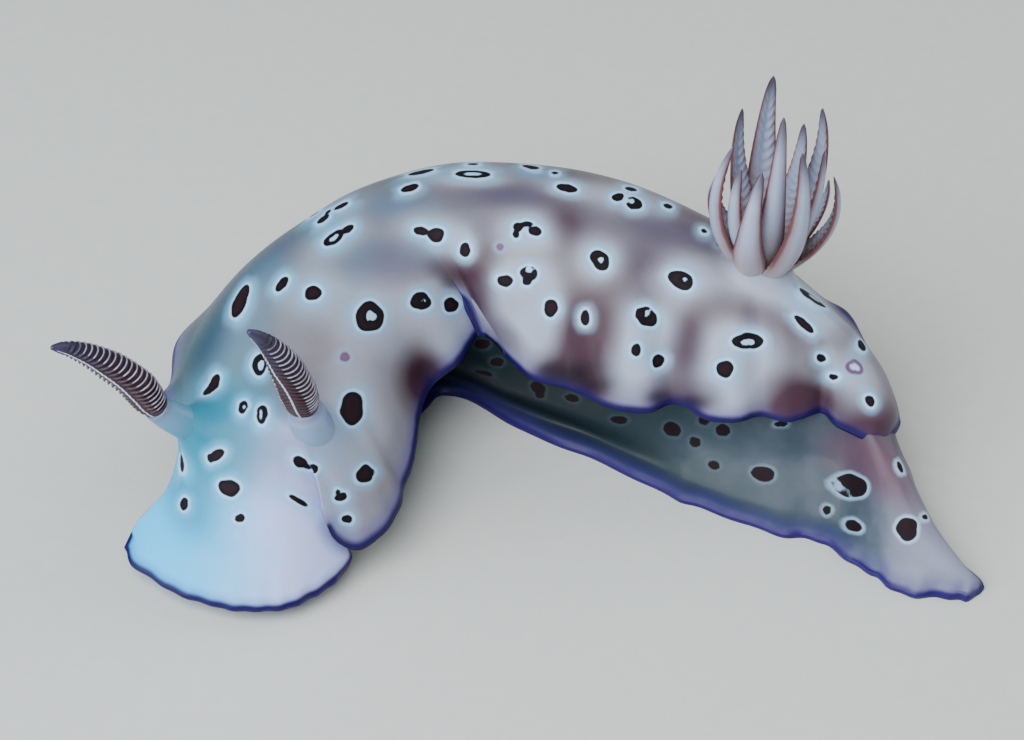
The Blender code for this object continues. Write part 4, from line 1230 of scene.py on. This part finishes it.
for hand, guides in FEELER_SEATS.items():
    down = np.array(guides[0]) - guides[1]
    down /= np.linalg.norm(down)
    root_way, tip_way = np.array(MIDLINE_WAYS[hand])
    shares = np.linspace(0, 1, 36)
    path = feeler_path(guides, shares * STALK_END * 1.03)
    path += down * (0.7 * (1 - shares) ** 1.5)[:, None]
    rings = tube(path, root_way, table_at(STALK_RADII[hand], shares), turns_round(48))
    stalk = rolled(rings, up=shares[:, None], right=float(hand == "right"))
    name = f"feeler_stalk_skin_{hand}"
    stalk_flesh.wear(piece(name, stalk, "feeler_stalk", f"rhinophore_stalk_{hand}"))

    shares = np.linspace(0, 1, PLATES * RINGS_A_PLATE + 1)
    phase = (shares * PLATES) % 1.0
    ridge = np.interp(phase, (0, 0.3, 0.5, 0.72, 0.8, 1), (0, 0.35, 0.9, 1, 0.6, 0))
    edge_line = np.interp(phase, (0, 0.5, 0.62, 0.75, 0.88, 1), (0, 0, 0.6, 1, 0.3, 0))
    ends = rising(shares, 0.01, 0.05) * rising(-shares, -0.96, -0.8)
    path = feeler_path(guides, STALK_END + (1 - STALK_END) * shares)
    full = table_at(CLUB_RADII, shares) * CLUB_FULL[hand]
    turned = rising(shares, 0.25, 0.75)[:, None]
    way = root_way * (1 - turned) + tip_way * turned
    # The points round it lie closer near the white line, which is thin.
    turns = turns_round(64)
    turns = turns - 0.75 * np.sin(turns)
    from_line = np.minimum(turns, 2 * math.pi - turns)
    line = np.exp(-((from_line / 0.075) ** 2))
    # The plates are low beside the line and along the back of the club.
    low = np.exp(-((from_line / 0.4) ** 2)) + np.exp(-(((turns - math.pi) / 0.2) ** 2))
    low = np.clip(low, 0, 1)
    depth = PLATE_DEPTH * np.minimum(1, full / 0.8)
    radii = full[:, None] - (depth * (1 - ridge) * ends)[:, None] * (1 - 0.9 * low)
    radii = radii * (1 - 0.12 * low + 0.1 * line)
    slope = np.abs(np.sin(turns / 2))
    slope = slope * (1 - 0.35 * slope)
    sunk = PLATE_SLOPE * 1.6 * full[:, None] * slope * rising(shares, 0, 0.35)[:, None]
    rings = tube(path, way, radii, turns) - frames(path, way)[0][:, None] * sunk[..., None]
    club = rolled(
        rings,
        plate_edge=(edge_line * ends)[:, None] * rising(from_line, 0.35, 0.8),
        midline=line * (shares < 0.96)[:, None],
        up=shares[:, None],
    )
    name = f"feeler_club_skin_{hand}"
    club_flesh.wear(piece(name, club, "feeler_club", f"rhinophore_club_{hand}"))

# The gills: thirteen soft feathers that rise from the pocket in the back in two rings. Each is
# a clear blade, blue-white with brown edges and a dark blunt tip, and a row of fine leaflets
# lies across either side of its inner face. All are one growth, and the vent opens between them.

GILL_TIPS_MIDDLE = np.array((14.4, 1.1, 12.45))
GILL_FLOOR = GILL_SEAT - GILL_AXIS * 1.2
# Each plume: the way it leans, in degrees, how far out its tip is and how high.
GILL_PLUMES = [
    (150, 2.9, 6.4), (127, 2.8, 10.0), (92, 2.2, 12.3), (48, 2.7, 9.1), (36, 3.4, 10.2),
    (10, 3.3, 6.2), (-12, 3.4, 7.4), (-35, 3.1, 10.0), (-60, 2.6, 10.2), (-86, 2.2, 12.6),
    (-112, 2.1, 8.6), (-140, 2.5, 8.6), (-160, 2.5, 9.6),
]
BLADE_HALF_WIDTH = [
    (0, 0.36), (0.1, 0.66), (0.22, 0.96), (0.42, 0.98), (0.62, 0.72), (0.82, 0.46), (0.93, 0.31),
    (0.98, 0.18), (1, 0.04),
]
BLADE_THICKNESS = [(0, 0.5), (0.5, 0.42), (0.9, 0.26), (1, 0.05)]
VENT_RADII = [(0, 0.34), (0.8, 0.3), (0.92, 0.32), (1, 0.16)]
LEAFLETS_A_SIDE = 20
RINGS_A_LEAFLET = 6
LEAFLET_DEPTH = 0.2

gill_flesh = Finish(
    "gill_flesh",
    Subsurface_Weight=0.2,
    Subsurface_Radius=(1.0, 0.7, 0.6),
    Subsurface_Scale=0.0003,
    Coat_Roughness=0.15,
    Specular_IOR_Level=0.25,
)
mottle = gill_flesh.noise(1200.0)
up = gill_flesh.attribute("up")
line = gill_flesh.attribute("line")
gill_flesh.colour = gill_flesh.mix(mottle, tint(160, 144, 146), tint(172, 160, 166))
gill_flesh.layer(gill_flesh.ramp(up, 0.2, 0.7) * 0.75, tint(150, 170, 204))
blush = gill_flesh.ramp(line + (mottle - 0.5) * 0.2, 0.12, 0.75) * gill_flesh.ramp(up, 0.1, 0.45)
gill_flesh.layer(blush * 0.6, tint(128, 84, 84))
brown = gill_flesh.ramp(line + (mottle - 0.5) * 0.12, 0.64, 0.9) * gill_flesh.ramp(up, 0.16, 0.42)
gill_flesh.layer(brown * 0.9, tint(92, 40, 38))
gill_flesh.layer(gill_flesh.ramp(up, 0.82, 1.0) * 0.85, tint(54, 26, 44))
gill_flesh.show(
    Base_Color=gill_flesh.colour,
    Roughness=0.32 + mottle * 0.12,
    Coat_Weight=0.15 + mottle * 0.15,
    Normal=gill_flesh.bump(mottle, 0.00002, 0.4),
)

across = np.array((1.0, 0, 0))
across -= GILL_AXIS * (across @ GILL_AXIS)
across /= np.linalg.norm(across)
beyond = np.cross(GILL_AXIS, across)
turns = turns_round(28)
shares = np.linspace(0, 1, LEAFLETS_A_SIDE * RINGS_A_LEAFLET + 1)
for index, (angle, out, height) in enumerate(GILL_PLUMES):
    base = math.radians(150 - index * 360 / len(GILL_PLUMES))
    outer_ring = index % 2 == 0
    away = across * math.cos(base) + beyond * math.sin(base)
    outward = np.array((math.cos(math.radians(angle)), math.sin(math.radians(angle)), 0))
    # Its middle is a curve through four guides: it leans out first, then rises to its tip.
    start = GILL_FLOOR + GILL_AXIS * 0.4 + away * (0.8 if outer_ring else 0.5)
    end = GILL_TIPS_MIDDLE + outward * out + (0, 0, height * 0.96)
    first = start + GILL_AXIS * 1.9 + outward * (1.9 if outer_ring else 1.3)
    second = start + (end - start) * 0.55 + outward * (2.7 if outer_ring else 1.8)
    rest = 1 - shares
    weights = np.stack([rest**3, 3 * rest**2 * shares, 3 * rest * shares**2, shares**3], 1)
    path = weights @ np.array((start, first, second, end))
    width = (1.0 if outer_ring else 0.9) * min(1, 0.4 + height / 14)
    along, side, other = frames(path, np.cross(outward, (0, 0, 1.0)))
    half = (table_at(BLADE_HALF_WIDTH, shares) * width)[:, None]
    thick = (table_at(BLADE_THICKNESS, shares) * width)[:, None]
    inward = np.sign((other @ -outward).mean())
    flat_across = np.cos(turns) * (1 - 0.12 * np.sin(turns) ** 2)
    hollow = inward * 0.32 * np.cos(turns) ** 2
    # The leaflets slope up and out from the middle of the inner face.
    phase = (shares[:, None] * LEAFLETS_A_SIDE - 1.6 * np.abs(np.cos(turns))) % 1.0
    leaflet = np.interp(phase, (0, 0.35, 0.5, 0.65, 1), (0, 0.7, 1, 0.4, 0))
    leaflet *= np.clip(np.sin(turns) * inward, 0, 1) ** 0.5 * rising(np.abs(np.cos(turns)), 0.05, 0.35)
    leaflet *= (rising(shares, 0.12, 0.3) * rising(-shares, -0.96, -0.85))[:, None]
    proud = inward * LEAFLET_DEPTH * leaflet * np.minimum(1, half / 0.6)
    through = thick / 2 * np.sin(turns) + half * hollow + proud
    rings = path[:, None] + side[:, None] * (half * flat_across)[..., None]
    rings = rings + other[:, None] * through[..., None]
    blade = rolled(rings, up=shares[:, None], line=np.cos(turns) ** 2)
    number = f"{index + 1:02d}"
    gill_flesh.wear(piece(f"gill_plume_skin_{number}", blade, "gill", f"gill_plume_{number}"))
shares = np.linspace(0, 1, 14)
path = GILL_FLOOR + GILL_AXIS * (0.2 + shares * 2.3)[:, None]
rings = tube(path, (1.0, 0, 0), table_at(VENT_RADII, shares), turns_round(20))
vent = piece("vent_skin", rolled(rings, up=0.3, line=0.0), "gill", "anal_papilla")
gill_flesh.wear(vent)
